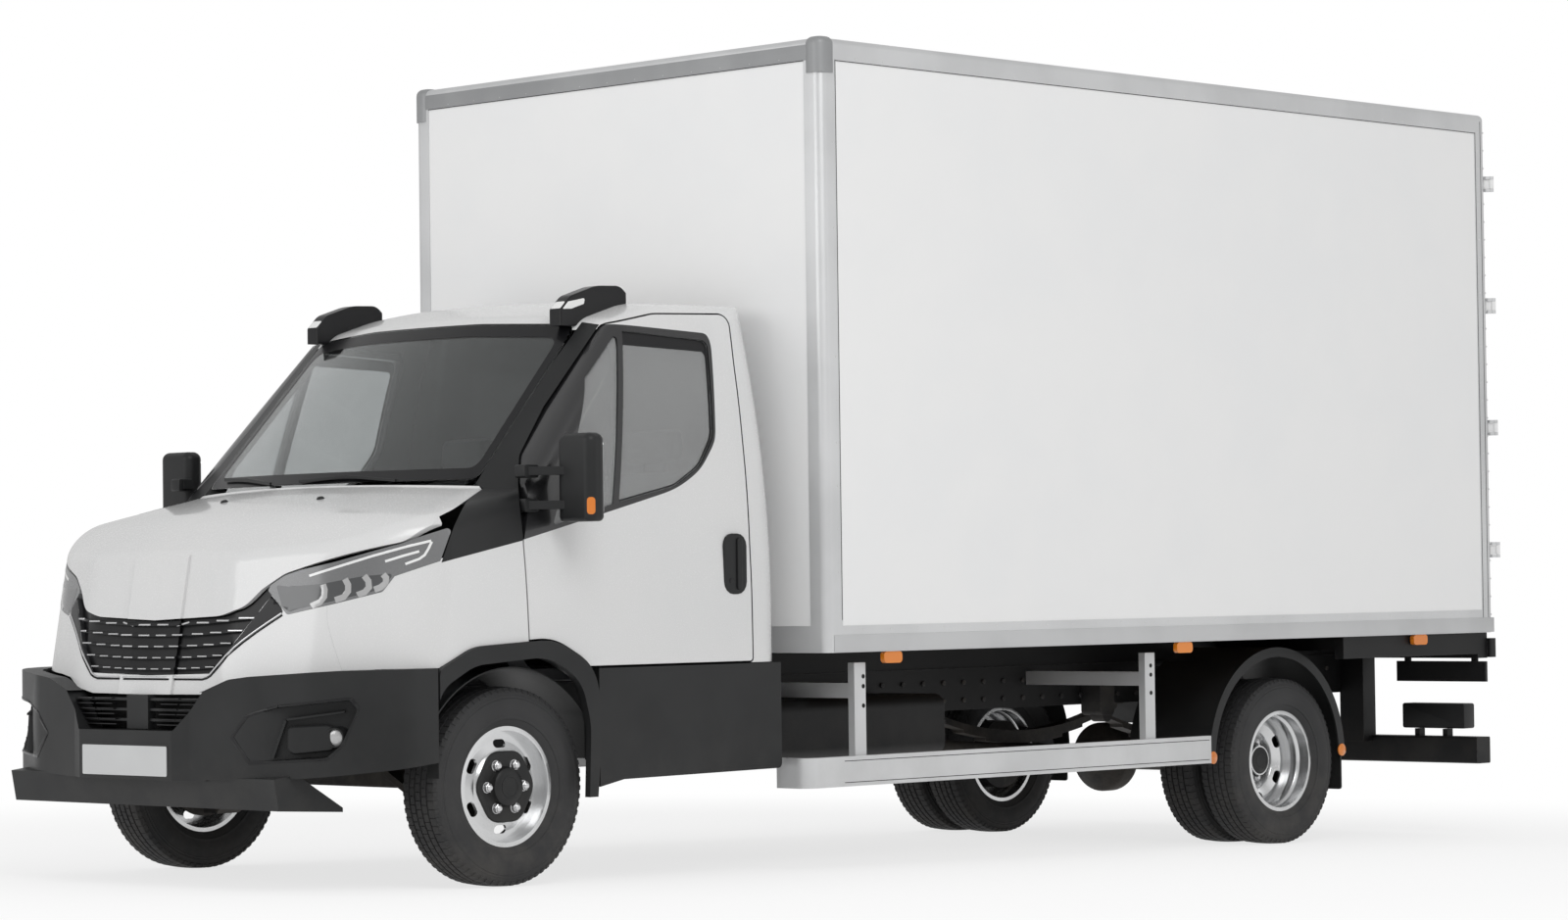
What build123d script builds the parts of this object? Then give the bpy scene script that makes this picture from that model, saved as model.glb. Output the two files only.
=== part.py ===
"""Light chassis-cab truck with a dry-freight box body.

Everything is drawn in the chassis frame: origin on the ground under the front axle,
+X to the truck's left, +Y to the rear, +Z up. At the end the whole truck is tipped
nose-down by its unladen rake and moved so that its origin is the middle of its footprint.
"""

import math
import os

from build123d import *

# Driving sizes, millimetres and degrees

wheelbase = 4350.0
rake = 1.089  # nose-down stance of the empty truck

tyre_radius = 349.5
tyre_width = 195.0
rim_radius = 203.0
front_track_half = 848.0
rear_outer_half = 890.0
twin_spacing = 222.0
steer_axis_half = 735.0
rear_hub_height = 266.8  # in the chassis frame, which is tipped by the rake

cab_half = 1008.0
cab_rear = 1290.0
cab_wall = 40.0
cab_floor_top = 560.0
sill_top = 758.0
sill_bottom = 335.0
belt_height = 950.0
tumblehome_radius = 4000.0
crown_axis_back = 2600.0
crown_tilt = 10.0
skin_thickness = 18.0
rim_thickness = 4.0
glass_inset = 8.0
glass_thickness = 5.0
panel_gap = 6.0
seat_gap = 0.3  # clearance between pieces that are seated on each other

box_front = 1398.0
box_rear = 5666.0
box_half = 1145.0
box_bottom = 786.0
box_top = 3074.0
box_wall = 24.0
box_floor_depth = 100.0
profile_width = 85.0
profile_depth = 30.0
rear_door_thickness = 45.0
rear_hinge_out = 7.0
rear_hinge_back = 26.0

rail_half = 430.0
rail_top = 690.0
rail_height = 170.0
rail_flange = 65.0
rail_wall = 6.0
rail_front = -700.0
rail_rear = 5560.0

pieces = {}


def keep(name, part):
    """Notes a finished piece under its name."""
    part.label = name
    pieces[name] = part


# Views that an outline can be drawn in: across, up and the way it looks
views = {
    "side": Plane.YZ,
    "front": Plane.XZ,
    "top": Plane.XY,
    "corner": Plane((0, 0, 0), x_dir=(1, 1, 0), z_dir=(1, -1, 0)),
}


def prism(view, rows, near, far, grow=0.0):
    """A straight prism between two distances along a view, on an outline of (across, up, radius) rows."""
    with BuildPart() as solid:
        with BuildSketch(views[view].offset(near)):
            with BuildLine():
                FilletPolyline(
                    [(a, b) for a, b, r in rows],
                    radius=[r for a, b, r in rows],
                    close=True,
                )
            make_face()
            if grow:
                offset(amount=grow, kind=Kind.INTERSECTION)
        extrude(amount=far - near)
    return solid.part


# Cab form: the closed outer shape of the cab, at any inset from its skin

# columns: back, up, corner radius
cab_profile = [
    (-905, 290, 0),
    (-908, 730, 400),
    (-862, 955, 300),
    (-790, 1175, 100),
    (-560, 1310, 500),
    (-112, 1416, 0),
    (455, 2037, 130),
    (650, 2103, 350),
    (1400, 2129, 0),
    (1400, 290, 0),
]
# columns: out, back at the height plan_level, corner radius
plan_level = 760.0
plan_lean = 0.18
form_base = 200.0
cab_corner_plan = [
    (-150, -960, 0),
    (420, -940, 0),
    (810, -805, 500),
    (cab_half, -540, 350),
    (cab_half, 2600, 0),
    (-150, 2600, 0),
]
crown_axis = Axis(
    (0, crown_axis_back, 1000),
    (0, math.sin(math.radians(crown_tilt)), math.cos(math.radians(crown_tilt))),
)


def cab_form(inset, corner_radius):
    """The cab's closed outer form, drawn in from its skin by the inset."""
    half = cab_half - inset
    with BuildPart() as form:
        with BuildSketch(Plane.YZ):
            with BuildLine():
                FilletPolyline(
                    [(y, z) for y, z, r in cab_profile],
                    radius=[r for y, z, r in cab_profile],
                    close=True,
                )
            make_face()
            if inset:
                offset(amount=-inset, kind=Kind.INTERSECTION)
        revolve(axis=crown_axis, revolution_arc=40)
        mirror(about=Plane.YZ)
        with BuildSketch(Plane.XZ.offset(-cab_rear + inset)):
            with BuildLine():
                Polyline([(0, form_base), (half, form_base), (half, belt_height)])
                shoulder = JernArc(
                    (half, belt_height), (0, 1), tumblehome_radius - inset, 17.4
                )
                Polyline([shoulder @ 1, (0, (shoulder @ 1).Y), (0, form_base)])
            make_face()
            mirror(about=Plane.YZ)
        extrude(amount=3000, mode=Mode.INTERSECT)
        with BuildSketch(Plane.XY.offset(form_base)):
            with Locations((0, (form_base - plan_level) * plan_lean)):
                with BuildLine():
                    FilletPolyline(
                        [(x, y) for x, y, r in cab_corner_plan],
                        radius=[r for x, y, r in cab_corner_plan],
                        close=True,
                    )
                make_face()
            if inset:
                offset(amount=-inset, kind=Kind.INTERSECTION)
            mirror(about=Plane.YZ)
        extrude(amount=2100, dir=(0, plan_lean, 1), mode=Mode.INTERSECT)
        if corner_radius:
            shoulders = form.edges().filter_by(
                lambda edge: edge.length > 50 and abs(edge.center().X) > 650 and edge.center().Z > 1000
            )
            fillet(shoulders, radius=corner_radius)
    return form.part


skin_form = cab_form(0, 80)
glass_form = cab_form(glass_inset, 74)
glass_back_form = cab_form(glass_inset + glass_thickness, 70)
rim_form = cab_form(rim_thickness, 77)
lining_form = cab_form(skin_thickness, 66)
wall_form = cab_form(cab_wall, 50)
# below the shoulders the rounding runs out to nothing, so the wings are cut from square forms
wing_skin_form = cab_form(0, 0)
wing_lining_form = cab_form(skin_thickness, 0)


def layer(cutter, outside, inside):
    """The part of the wall between two cab forms that lies inside a cutter."""
    with BuildPart() as wall:
        add(outside)
        add(cutter, mode=Mode.INTERSECT)
        add(inside, mode=Mode.SUBTRACT)
    return wall.part


# Outlines of the cab's panels, columns: across, up, corner radius

door_outline = [
    (38, sill_top + panel_gap, 0),
    (38, 860, 60),
    (22, 1205, 60),
    (78, 1411, 0),
    (150, 1516, 40),
    (588, 1992, 60),
    (800, 2034, 200),
    (1186, 2046, 40),
    (1166, 1866, 900),
    (1150, 1573, 900),
    (1138, 1175, 900),
    (1142, sill_top + panel_gap, 12),
]
quarter_window = [
    (160, 1256, 12),
    (464, 1338, 8),
    (600, 1962, 8),
    (425, 1792, 20),
]
door_window = [
    (492, 1344, 8),
    (784, 1404, 160),
    (920, 1478, 160),
    (1004, 1585, 90),
    (1052, 1945, 30),
    (626, 1968, 8),
]
screen_outline = [
    (-762, 1428, 30),
    (-719, 1998, 50),
    (-300, 2016, 1200),
    (300, 2016, 1200),
    (719, 1998, 50),
    (762, 1428, 30),
]
bonnet_edge = [
    (0, 946, 0),
    (352, 960, 300),
    (457, 990, 120),
    (514, 1050, 120),
    (593, 1103, 120),
    (758, 1154, 300),
    (931, 1208, 60),
    (972, 1267, 12),
    (938, 1319, 60),
    (784, 1400, 30),
    (760, 1500, 0),
    (0, 1500, 0),
]
grille_outline = [
    (0, 754, 0),
    (356, 762, 40),
    (562, 1038, 20),
    (574, 1094, 0),
    (512, 1052, 100),
    (455, 992, 100),
    (352, 962, 250),
    (0, 948, 0),
]
lamp_outline = [
    (-147, 1046, 6),
    (-77, 962, 12),
    (92, 998, 60),
    (254, 1036, 20),
    (295, 1089, 12),
    (448, 1139, 6),
    (490, 1258, 12),
    (290, 1194, 300),
    (89, 1140, 300),
    (-120, 1096, 20),
]
pillar_outline = [
    (452, 1134, 0),
    (721, 1209, 0),
    (700, 1411, 0),
    (700, 1512, 60),
    (783, 1689, 0),
    (978, 1992, 0),
    (915, 2004, 0),
    (798, 1835, 0),
    (678, 1637, 0),
    (555, 1425, 0),
    (548, 1392, 0),
    (495, 1262, 0),
]
wing_outline = [
    (66, 930, 0),
    (88, 853, 60),
    (116, 773, 0),
    (760, 773, 0),
    (760, 1222, 0),
    (721, 1222, 0),
    (440, 1145, 0),
    (60, 1100, 0),
]
nose_outline = [
    (0, 688, 0),
    (317, 690, 60),
    (392, 704, 60),
    (511, 744, 80),
    (606, 754, 60),
    (900, 772, 0),
    (900, 1000, 0),
    (545, 1060, 0),
    (0, 1060, 0),
]
# columns: back, up, corner radius
arch_outline = [
    (-392, sill_top - 200, 0),
    (-392, 768, 40),
    (-230, 843, 220),
    (150, 862, 260),
    (332, 768, 160),
    (374, 600, 300),
    (345, 300, 0),
    (-392, 300, 0),
]
arch_opening = [
    (-480, 290, 0),
    (-440, 560, 60),
    (-372, 705, 120),
    (-230, 778, 220),
    (130, 802, 260),
    (272, 706, 160),
    (314, 560, 300),
    (303, 290, 0),
]
# behind the trim the opening is wider, for the steered tyre
arch_room = [
    (-480, 290, 0),
    (-440, 560, 60),
    (-372, 705, 120),
    (-230, 778, 220),
    (130, 802, 200),
    (300, 720, 120),
    (360, 560, 100),
    (360, 290, 0),
]

# Doors: panel with its two window openings, glass, mirror and handle

door_cutter = prism("side", door_outline, 770, 1100)
with BuildPart() as door:
    add(layer(door_cutter, skin_form, wall_form))
    add(prism("side", arch_outline, 900, 1100, panel_gap), mode=Mode.SUBTRACT)
    add(prism("side", quarter_window, 600, 1100), mode=Mode.SUBTRACT)
    add(prism("side", door_window, 600, 1100), mode=Mode.SUBTRACT)
    # handle recess and its upright bar
    with BuildSketch(Plane.YZ.offset(cab_half - 16)):
        with Locations((1058, 1120)):
            RectangleRounded(104, 210, 40)
    extrude(amount=40, mode=Mode.SUBTRACT)
    with BuildSketch(Plane.YZ.offset(cab_half - 20)):
        with Locations((1074, 1120)):
            RectangleRounded(26, 214, 10)
    extrude(amount=17)

with BuildPart() as door_glass:
    for window in (quarter_window, door_window):
        add(layer(prism("side", window, 600, 1100, -seat_gap), glass_form, glass_back_form))

mirror_out = 1130.0
mirror_back = 178.0
mirror_up = 1427.0
with BuildPart() as mirror_unit:
    with BuildSketch(Plane.XY.offset(mirror_up - 155)):
        with Locations((mirror_out, mirror_back)):
            RectangleRounded(176, 84, 34)
    extrude(amount=310)
    fillet(mirror_unit.edges().group_by(Axis.Z)[-1], radius=30)
    fillet(mirror_unit.edges().group_by(Axis.Z)[0], radius=18)
    for arm_up in (1437, 1317):
        with BuildSketch(Plane.XY.offset(arm_up)):
            with BuildLine():
                Polyline([(940, 42), (1000, 42), (1100, 150), (1100, 200), (1060, 200), (1000, 100), (940, 84)],
                         close=True)
            make_face()
        extrude(amount=30)
    add(skin_form, mode=Mode.SUBTRACT)

# Bonnet: a skin over the engine that lifts at its rear hinge

bonnet_front_view = prism("front", bonnet_edge, -100, 1000)
# beside the pillars the bonnet is a single sheet, so that its underside clears them as it swings up
bonnet_rim = prism(
    "front", [(735, 1370, 0), (925, 1268, 0), (960, 1225, 0), (1010, 1225, 0), (1010, 1450, 0), (735, 1450, 0)], -100, 330
)
with BuildPart() as bonnet_rear_arc:
    with BuildSketch(Plane.XY.offset(900)):
        with Locations((0, crown_axis_back)):
            Circle(crown_axis_back + 108)
    extrude(amount=700)
with BuildPart() as bonnet:
    add(layer(bonnet_front_view, skin_form, lining_form))
    add(bonnet_rear_arc.part, mode=Mode.SUBTRACT)
    add(layer(bonnet_rim, rim_form, wall_form), mode=Mode.SUBTRACT)
    mirror(about=Plane.YZ)

# Headlamps: moulded units that wrap the front corners

lamp_cutter = prism("corner", lamp_outline, 500, 1500)
with BuildPart() as bonnet_gap:
    add(prism("front", bonnet_edge, -150, 1000, panel_gap))
    with BuildSketch(Plane.XY.offset(900)):
        with Locations((0, crown_axis_back)):
            Circle(crown_axis_back + 108 - panel_gap)
    extrude(amount=700, mode=Mode.SUBTRACT)
with BuildPart() as headlamp:
    add(layer(lamp_cutter, skin_form, wall_form))
    add(bonnet_gap.part, mode=Mode.SUBTRACT)

# Grille: a dark panel with five rows of slats between uprights

grille_cutter = prism("front", grille_outline, 600, 1000)
lamp_gap = prism("corner", lamp_outline, 500, 1500, seat_gap)
# columns: half width, up at the middle, up at the ends
slat_table = [
    (332, 772, 780),
    (366, 811, 820),
    (402, 850, 862),
    (440, 889, 905),
    (478, 926, 948),
]
slat_height = 9.0
with BuildPart() as slats:
    for slat_half, slat_up, end_up in slat_table:
        with BuildSketch(Plane.XZ.offset(600)):
            with BuildLine():
                low_arc = ThreePointArc((-slat_half, end_up), (0, slat_up), (slat_half, end_up))
                high_arc = ThreePointArc(
                    (-slat_half, end_up + slat_height), (0, slat_up + slat_height), (slat_half, end_up + slat_height)
                )
                Line(low_arc @ 0, high_arc @ 0)
                Line(low_arc @ 1, high_arc @ 1)
            make_face()
        extrude(amount=400)
with BuildPart() as slat_layer:
    add(skin_form)
    add(slats.part, mode=Mode.INTERSECT)
    add(lining_form, mode=Mode.SUBTRACT)
with BuildPart() as grille:
    add(layer(grille_cutter, lining_form, wall_form))
    mirror(about=Plane.YZ)
    add(slat_layer.part)
    for gap in (lamp_gap, lamp_gap.mirror(Plane.YZ), bonnet_gap.part, bonnet_gap.part.mirror(Plane.YZ)):
        add(gap, mode=Mode.SUBTRACT)

# Windscreen

screen_cutter = prism("front", screen_outline, -800, 250)
with BuildPart() as windscreen:
    add(layer(screen_cutter, skin_form, glass_form))

# Pieces between the cutters: each is cut back from its neighbours by the panel gap

door_gap = prism("side", door_outline, 764, 1200, panel_gap)
grille_gap = prism("front", grille_outline, 600, 1100, seat_gap)
screen_gap = prism("front", screen_outline, -800, 250, seat_gap)

with BuildPart() as pillar:
    add(layer(prism("corner", pillar_outline, 0, 1500), skin_form, wall_form))
    for gap in (door_gap, lamp_gap, screen_gap, bonnet_gap.part):
        add(gap, mode=Mode.SUBTRACT)

arch_cutter = prism("side", arch_outline, 600, 1200)
pillar_gap = prism("corner", pillar_outline, 0, 1500, seat_gap)
with BuildPart() as wing:
    add(layer(prism("corner", wing_outline, 500, 1500), wing_skin_form, wing_lining_form))
    for gap in (arch_cutter, door_gap, lamp_gap, pillar_gap, bonnet_gap.part):
        add(gap, mode=Mode.SUBTRACT)
    add(wing.solids().sort_by(SortBy.VOLUME)[-1], mode=Mode.INTERSECT)

wing_gap = prism("corner", wing_outline, 500, 1500, seat_gap)
with BuildPart() as nose:
    add(layer(prism("front", nose_outline, 500, 1000), skin_form, lining_form))
    for gap in (grille_gap, lamp_gap, wing_gap, bonnet_gap.part):
        add(gap, mode=Mode.SUBTRACT)
    mirror(about=Plane.YZ)

shell_outline = [
    (300, 1975, 0),
    (300, 2300, 0),
    (1400, 2300, 0),
    (1400, sill_top, 0),
    (1100, sill_top, 0),
    (1100, 1975, 0),
]
with BuildPart() as cab_shell:
    add(layer(prism("side", shell_outline, -1200, 1200), skin_form, wall_form))
    add(screen_gap, mode=Mode.SUBTRACT)
    for gap in (door_gap, pillar_gap):
        add(gap, mode=Mode.SUBTRACT)
        add(gap.mirror(Plane.YZ), mode=Mode.SUBTRACT)

arch_centre_up = 320.0
cab_floor_low = sill_top - 42
liner_radius = 448.0
floor_outline = [
    (60, cab_floor_low, 0),
    (cab_rear - cab_wall, cab_floor_low, 0),
    (cab_rear - cab_wall, sill_top - 2, 0),
    (130, sill_top - 2, 60),
    (40, 880, 60),
    (40, 1340, 0),
    (-4, 1340, 0),
    (-4, 860, 60),
]
with BuildPart() as cab_floor:
    add(prism("side", floor_outline, -900, 900))
    # wheel arches
    for side in (-1, 1):
        with BuildSketch(Plane.YZ.offset(side * 750 - 200)):
            with Locations((0, arch_centre_up)):
                Circle(liner_radius + seat_gap)
        extrude(amount=400, mode=Mode.SUBTRACT)

# Black lower cladding: arch trims, inner arches and sills

cladding_out = 14.0
trim_in = cab_half - 12
liner_out = 944.0
with BuildPart() as behind_trim:
    add(prism("side", arch_outline, liner_out, trim_in, -1))
    with BuildSketch(Plane.YZ.offset(liner_out)):
        with BuildLine():
            FilletPolyline(
                [(364, sill_bottom), (364, sill_top - 3), (cab_rear - 4, sill_top - 3),
                 (cab_rear - 4, sill_bottom + 30), (480, sill_bottom + 22)],
                radius=[0, 0, 0, 20, 40],
                close=True,
            )
        make_face()
    extrude(amount=cab_half + 4 - liner_out)
    add(prism("side", arch_room, 900, 1100), mode=Mode.SUBTRACT)
with BuildPart() as cladding:
    # trim round the arch, and the block behind it
    add(prism("side", arch_outline, trim_in, cab_half + cladding_out, -1))
    add(prism("side", arch_opening, trim_in - 10, cab_half + 100), mode=Mode.SUBTRACT)
    add(behind_trim.part)
    # inner arch, closed to the block by a flat rim
    with BuildSketch(Plane.YZ.offset(560)):
        with Locations((0, arch_centre_up)):
            Circle(liner_radius)
            Circle(liner_radius - 5, mode=Mode.SUBTRACT)
        with Locations((0, 0)):
            Rectangle(1200, 860, mode=Mode.SUBTRACT)
    extrude(amount=liner_out - 560)
    with BuildSketch(Plane.YZ.offset(liner_out - 8)):
        with Locations((0, arch_centre_up)):
            Circle(liner_radius)
        with Locations((0, 0)):
            Rectangle(1200, 860, mode=Mode.SUBTRACT)
        with BuildLine():
            FilletPolyline([(y, z) for y, z, r in arch_room], radius=0, close=True)
        make_face(mode=Mode.SUBTRACT)
    extrude(amount=8)

# Front bumper: black, with the fog lamp pockets, the lower intake and the lip

bumper_top = 752.0
bumper_bottom = 396.0
# columns: out, back, corner radius
bumper_plan = [
    (0, -958, 0),
    (262, -958, 20),
    (330, -925, 40),
    (600, -893, 200),
    (850, -790, 260),
    (1016, -560, 240),
    (1020, -398, 0),
    (960, -398, 0),
    (950, -540, 200),
    (800, -730, 240),
    (600, -820, 200),
    (0, -870, 0),
]
bumper_top_edge = [(x, z - seat_gap, r) for x, z, r in nose_outline[:6]] + [(1100, 772.5, 0), (1100, 1060, 0), (0, 1060, 0)]
fog_pocket = [
    (-262, 548, 8),
    (-205, 620, 30),
    (-97, 650, 30),
    (150, 672, 12),
    (176, 640, 20),
    (120, 520, 60),
    (70, 478, 20),
    (-200, 464, 8),
]
intake_outline = [
    (-388, 700, 0),
    (-268, 566, 12),
    (268, 566, 12),
    (388, 700, 0),
]
with BuildPart() as bumper:
    with BuildSketch(Plane.XY.offset(bumper_bottom)):
        with BuildLine():
            FilletPolyline(
                [(x, y) for x, y, r in bumper_plan],
                radius=[r for x, y, r in bumper_plan],
                close=True,
            )
        make_face()
    extrude(amount=bumper_top + 24 - bumper_bottom)
    add(prism("front", bumper_top_edge, 300, 1100), mode=Mode.SUBTRACT)
    add(prism("corner", fog_pocket, 1080, 1400), mode=Mode.SUBTRACT)
    with BuildSketch(Plane.YZ.offset(400)):
        with BuildLine():
            Polyline([(-400, 380), (-400, 450), (-1100, 380)], close=True)
        make_face()
    extrude(amount=700, mode=Mode.SUBTRACT)
    mirror(about=Plane.YZ)
    add(prism("front", intake_outline, 800, 1100), mode=Mode.SUBTRACT)
    # three bars across the intake, with the square panel in the middle
    for bar_up in (600, 636, 672):
        with BuildSketch(Plane.XZ.offset(872)):
            with Locations((0, bar_up)):
                Rectangle(560 + (bar_up - 566) * 1.6, 9)
        extrude(amount=20)
    with BuildSketch(Plane.XZ.offset(866)):
        with Locations((0, 628)):
            Rectangle(120, 118)
    extrude(amount=34)
    # stays back to the ends of the rails
    with BuildSketch(Plane.XZ.offset(-rail_front + seat_gap)):
        with Locations((rail_half - 30, 600), (30 - rail_half, 600)):
            Rectangle(50, 70)
    extrude(amount=150)
    # lip below the bumper
    with BuildSketch(Plane.YZ.offset(-750)):
        with BuildLine():
            Polyline([(-900, bumper_bottom + 12), (-880, 300), (-600, 285), (-600, 300), (-800, bumper_bottom + 24)],
                     close=True)
        make_face()
    extrude(amount=1500)

with BuildPart() as plate:
    with BuildSketch(Plane.XZ.offset(958 + seat_gap)):
        with Locations((0, 461)):
            RectangleRounded(480, 104, 6)
    extrude(amount=2)

# Wipers, lying on the lower part of the screen

foot_back, foot_up = cab_profile[5][:2]
head_back, head_up = cab_profile[6][:2]


def screen_back(out, up):
    """How far back the screen's face is at a place across and up."""
    reach = crown_axis_back - foot_back
    sag = reach - math.sqrt(reach**2 - out**2)
    tilt = math.radians(crown_tilt)
    slope = (head_back - foot_back) / (head_up - foot_up)
    return foot_back + (up + sag * math.sin(tilt) - foot_up) * slope + sag * math.cos(tilt)


# columns: out and up of the pivot, the knee and the tip
wiper_table = [
    ((430, 1432), (180, 1452), (-70, 1440)),
    ((-250, 1436), (-440, 1456), (-640, 1462)),
]
wiper_stand = 13.9
with BuildPart() as wipers:
    for route in wiper_table:
        points = [(x, screen_back(x, z) - wiper_stand, z) for x, z in route]
        with BuildLine():
            arm = Polyline(points)
        with BuildSketch(Plane(arm @ 0, z_dir=arm % 0)):
            Rectangle(9, 12)
        sweep(transition=Transition.RIGHT)

# Marker lamps: two on the cab roof and four along each side of the box

roof_lamp_out = 688.0
with BuildPart() as roof_lamp:
    with BuildSketch(Plane.YZ.offset(roof_lamp_out - 32)):
        with BuildLine():
            FilletPolyline(
                [(470, 1990), (470, 2050), (520, 2100), (650, 2142), (770, 2146), (800, 2120), (800, 1990)],
                radius=[0, 12, 60, 200, 60, 8, 0],
                close=True,
            )
        make_face()
    extrude(amount=64)
    fillet(roof_lamp.edges().filter_by(Axis.X, reverse=True).group_by(Axis.Z)[-1], radius=6)
    add(skin_form, mode=Mode.SUBTRACT)

side_marker_places = [1760.0, 3500.0, 5120.0]
with BuildPart() as side_marker:
    for place in side_marker_places:
        with BuildSketch(Plane.YZ.offset(box_half - 24)):
            with Locations((place, box_bottom - seat_gap - 22)):
                RectangleRounded(100, 44, 16)
        extrude(amount=20)

# Cab inside: seats and dashboard, seen through the glass

# columns: out, width
seat_table = [(520, 500), (-310, 880)]
seat_base_up = sill_top - 2 + seat_gap
with BuildPart() as seats:
    for seat_out, seat_width in seat_table:
        with BuildSketch(Plane.YZ.offset(seat_out - seat_width / 2)):
            with BuildLine():
                FilletPolyline(
                    [(560, seat_base_up), (540, 1060), (560, 1150), (960, 1130), (1080, 1640),
                     (1170, 1640), (1150, 1120), (1140, seat_base_up)],
                    radius=[0, 30, 50, 60, 40, 40, 60, 0],
                    close=True,
                )
            make_face()
        extrude(amount=seat_width)

dash_width = 1780.0
dash_front = 40 + seat_gap
steering_out = 470.0
with BuildPart() as dashboard:
    with BuildSketch(Plane.YZ.offset(-dash_width / 2)):
        with BuildLine():
            FilletPolyline(
                [(dash_front, 1000), (dash_front, 1330), (130, 1372), (300, 1350), (360, 1230), (300, 1100), (200, 1000)],
                radius=[0, 20, 60, 60, 60, 60, 20],
                close=True,
            )
        make_face()
    extrude(amount=dash_width)
    wheel_plane = Plane((steering_out, 430, 1290), x_dir=(1, 0, 0), z_dir=(0, 0.86, 0.51))
    with BuildSketch(Plane((steering_out, 430, 1290), x_dir=(0, -0.51, 0.86), z_dir=(1, 0, 0))):
        with Locations((200, 0)):
            Circle(15)
    revolve(axis=Axis((steering_out, 430, 1290), (0, 0.86, 0.51)))
    with BuildSketch(wheel_plane):
        Circle(52)
        Rectangle(400, 30)
    extrude(amount=12, both=True)
    with BuildSketch(wheel_plane):
        Circle(34)
    extrude(amount=-170)

# Engine: one plain block with its gearbox between the rails

engine_half = 260.0
shaft_front_back = 460.0
shaft_front_up = 560.0
with BuildPart() as engine:
    with BuildSketch(Plane.XY.offset(524)):
        with Locations((0, -285)):
            Rectangle(2 * engine_half, 530)
    extrude(amount=500)
    with BuildSketch(Plane.XZ.offset(30)):
        with Locations((0, shaft_front_up)):
            Circle(136)
    extrude(amount=-(shaft_front_back + 30))

# Box body: floor, three walls, roof, and the aluminium edge profiles that join them

shell_in = profile_depth
floor_up = box_bottom + box_floor_depth
with BuildPart() as box_floor:
    with BuildSketch(Plane.XY.offset(floor_up - 30)):
        with Locations((0, (box_front + box_rear) / 2)):
            Rectangle(2 * (box_half - shell_in) - 2 * seat_gap, box_rear - box_front - 2 * shell_in - 2 * seat_gap)
    extrude(amount=30)
    cross_count = 9
    with BuildSketch(Plane.XY.offset(box_bottom)):
        with GridLocations(0, (box_rear - box_front - 300) / (cross_count - 1), 1, cross_count):
            with Locations((0, (box_front + box_rear) / 2)):
                Rectangle(2 * (box_half - shell_in) - 2 * seat_gap, 60)
    extrude(amount=box_floor_depth - 30)

wall_base = floor_up
wall_inset = 3.0
with BuildPart() as box_front_wall:
    with BuildSketch(Plane.XY.offset(wall_base)):
        with Locations((0, box_front + wall_inset + box_wall / 2)):
            Rectangle(2 * (box_half - shell_in) - 2 * seat_gap, box_wall)
    extrude(amount=box_top - shell_in - wall_base - seat_gap)

side_length = box_rear - box_front - 2 * shell_in
with BuildPart() as box_sides:
    with BuildSketch(Plane.XY.offset(wall_base)):
        with Locations((box_half - wall_inset - box_wall / 2, (box_front + box_rear) / 2)):
            Rectangle(box_wall, side_length - 2 * seat_gap)
    extrude(amount=box_top - shell_in - wall_base - seat_gap)
    mirror(about=Plane.YZ)

with BuildPart() as box_roof:
    with BuildSketch(Plane.XY.offset(box_top - wall_inset - box_wall)):
        with Locations((0, (box_front + box_rear) / 2)):
            Rectangle(2 * (box_half - shell_in) - 2 * seat_gap, side_length - 2 * seat_gap)
    extrude(amount=box_wall)

with BuildPart() as box_block:
    with BuildSketch(Plane.XY.offset(box_bottom)):
        with Locations((0, (box_front + box_rear) / 2)):
            RectangleRounded(2 * box_half, box_rear - box_front, 36)
    extrude(amount=box_top - box_bottom)
    fillet(box_block.faces().sort_by(Axis.Z)[-1].edges(), radius=24)

with BuildPart() as box_profiles:
    add(box_block.part)
    # hollow inside, then the four walls, the roof and the floor are opened to their profiles
    with BuildSketch(Plane.XY.offset(box_bottom)):
        with Locations((0, (box_front + box_rear) / 2)):
            Rectangle(2 * (box_half - shell_in), box_rear - box_front - 2 * shell_in)
    extrude(amount=box_top - shell_in - box_bottom, mode=Mode.SUBTRACT)
    with BuildSketch(Plane.YZ.offset(-box_half)):
        with Locations(((box_front + box_rear) / 2, (wall_base + box_top - profile_width) / 2)):
            Rectangle(box_rear - box_front - 2 * profile_width, box_top - profile_width - wall_base)
    extrude(amount=2 * box_half, mode=Mode.SUBTRACT)
    with BuildSketch(Plane.XZ.offset(-box_front - shell_in)):
        with Locations((0, (wall_base + box_top - profile_width) / 2)):
            Rectangle(2 * (box_half - profile_width), box_top - profile_width - wall_base)
    extrude(amount=shell_in, mode=Mode.SUBTRACT)
    with BuildSketch(Plane.XZ.offset(-box_rear)):
        with Locations((0, (wall_base + box_top - profile_width) / 2)):
            Rectangle(2 * (box_half - profile_width + 20), box_top - profile_width - wall_base)
    extrude(amount=shell_in, mode=Mode.SUBTRACT)
    with BuildSketch(Plane.XY.offset(box_top - shell_in)):
        with Locations((0, (box_front + box_rear) / 2)):
            Rectangle(2 * (box_half - profile_width), box_rear - box_front - 2 * profile_width)
    extrude(amount=shell_in, mode=Mode.SUBTRACT)
    # the walls sit in rebates behind the profiles
    for seat in (box_front_wall, box_sides, box_roof):
        add(seat.part, mode=Mode.SUBTRACT)

cap_size = 96.0
cap_proud = 6.0
with BuildPart() as corner_caps:
    with BuildSketch(Plane.XY.offset(box_top - 130)):
        with Locations((box_half + cap_proud - cap_size / 2, box_front - cap_proud + cap_size / 2)):
            RectangleRounded(cap_size, cap_size, 40)
    extrude(amount=130 + cap_proud)
    fillet(corner_caps.edges().group_by(Axis.Z)[-1], radius=28)
    add(box_block.part, mode=Mode.SUBTRACT)
    mirror(about=Plane.YZ)

# Rear doors of the box, hinged at the corner posts and folding right round to the sides

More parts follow.
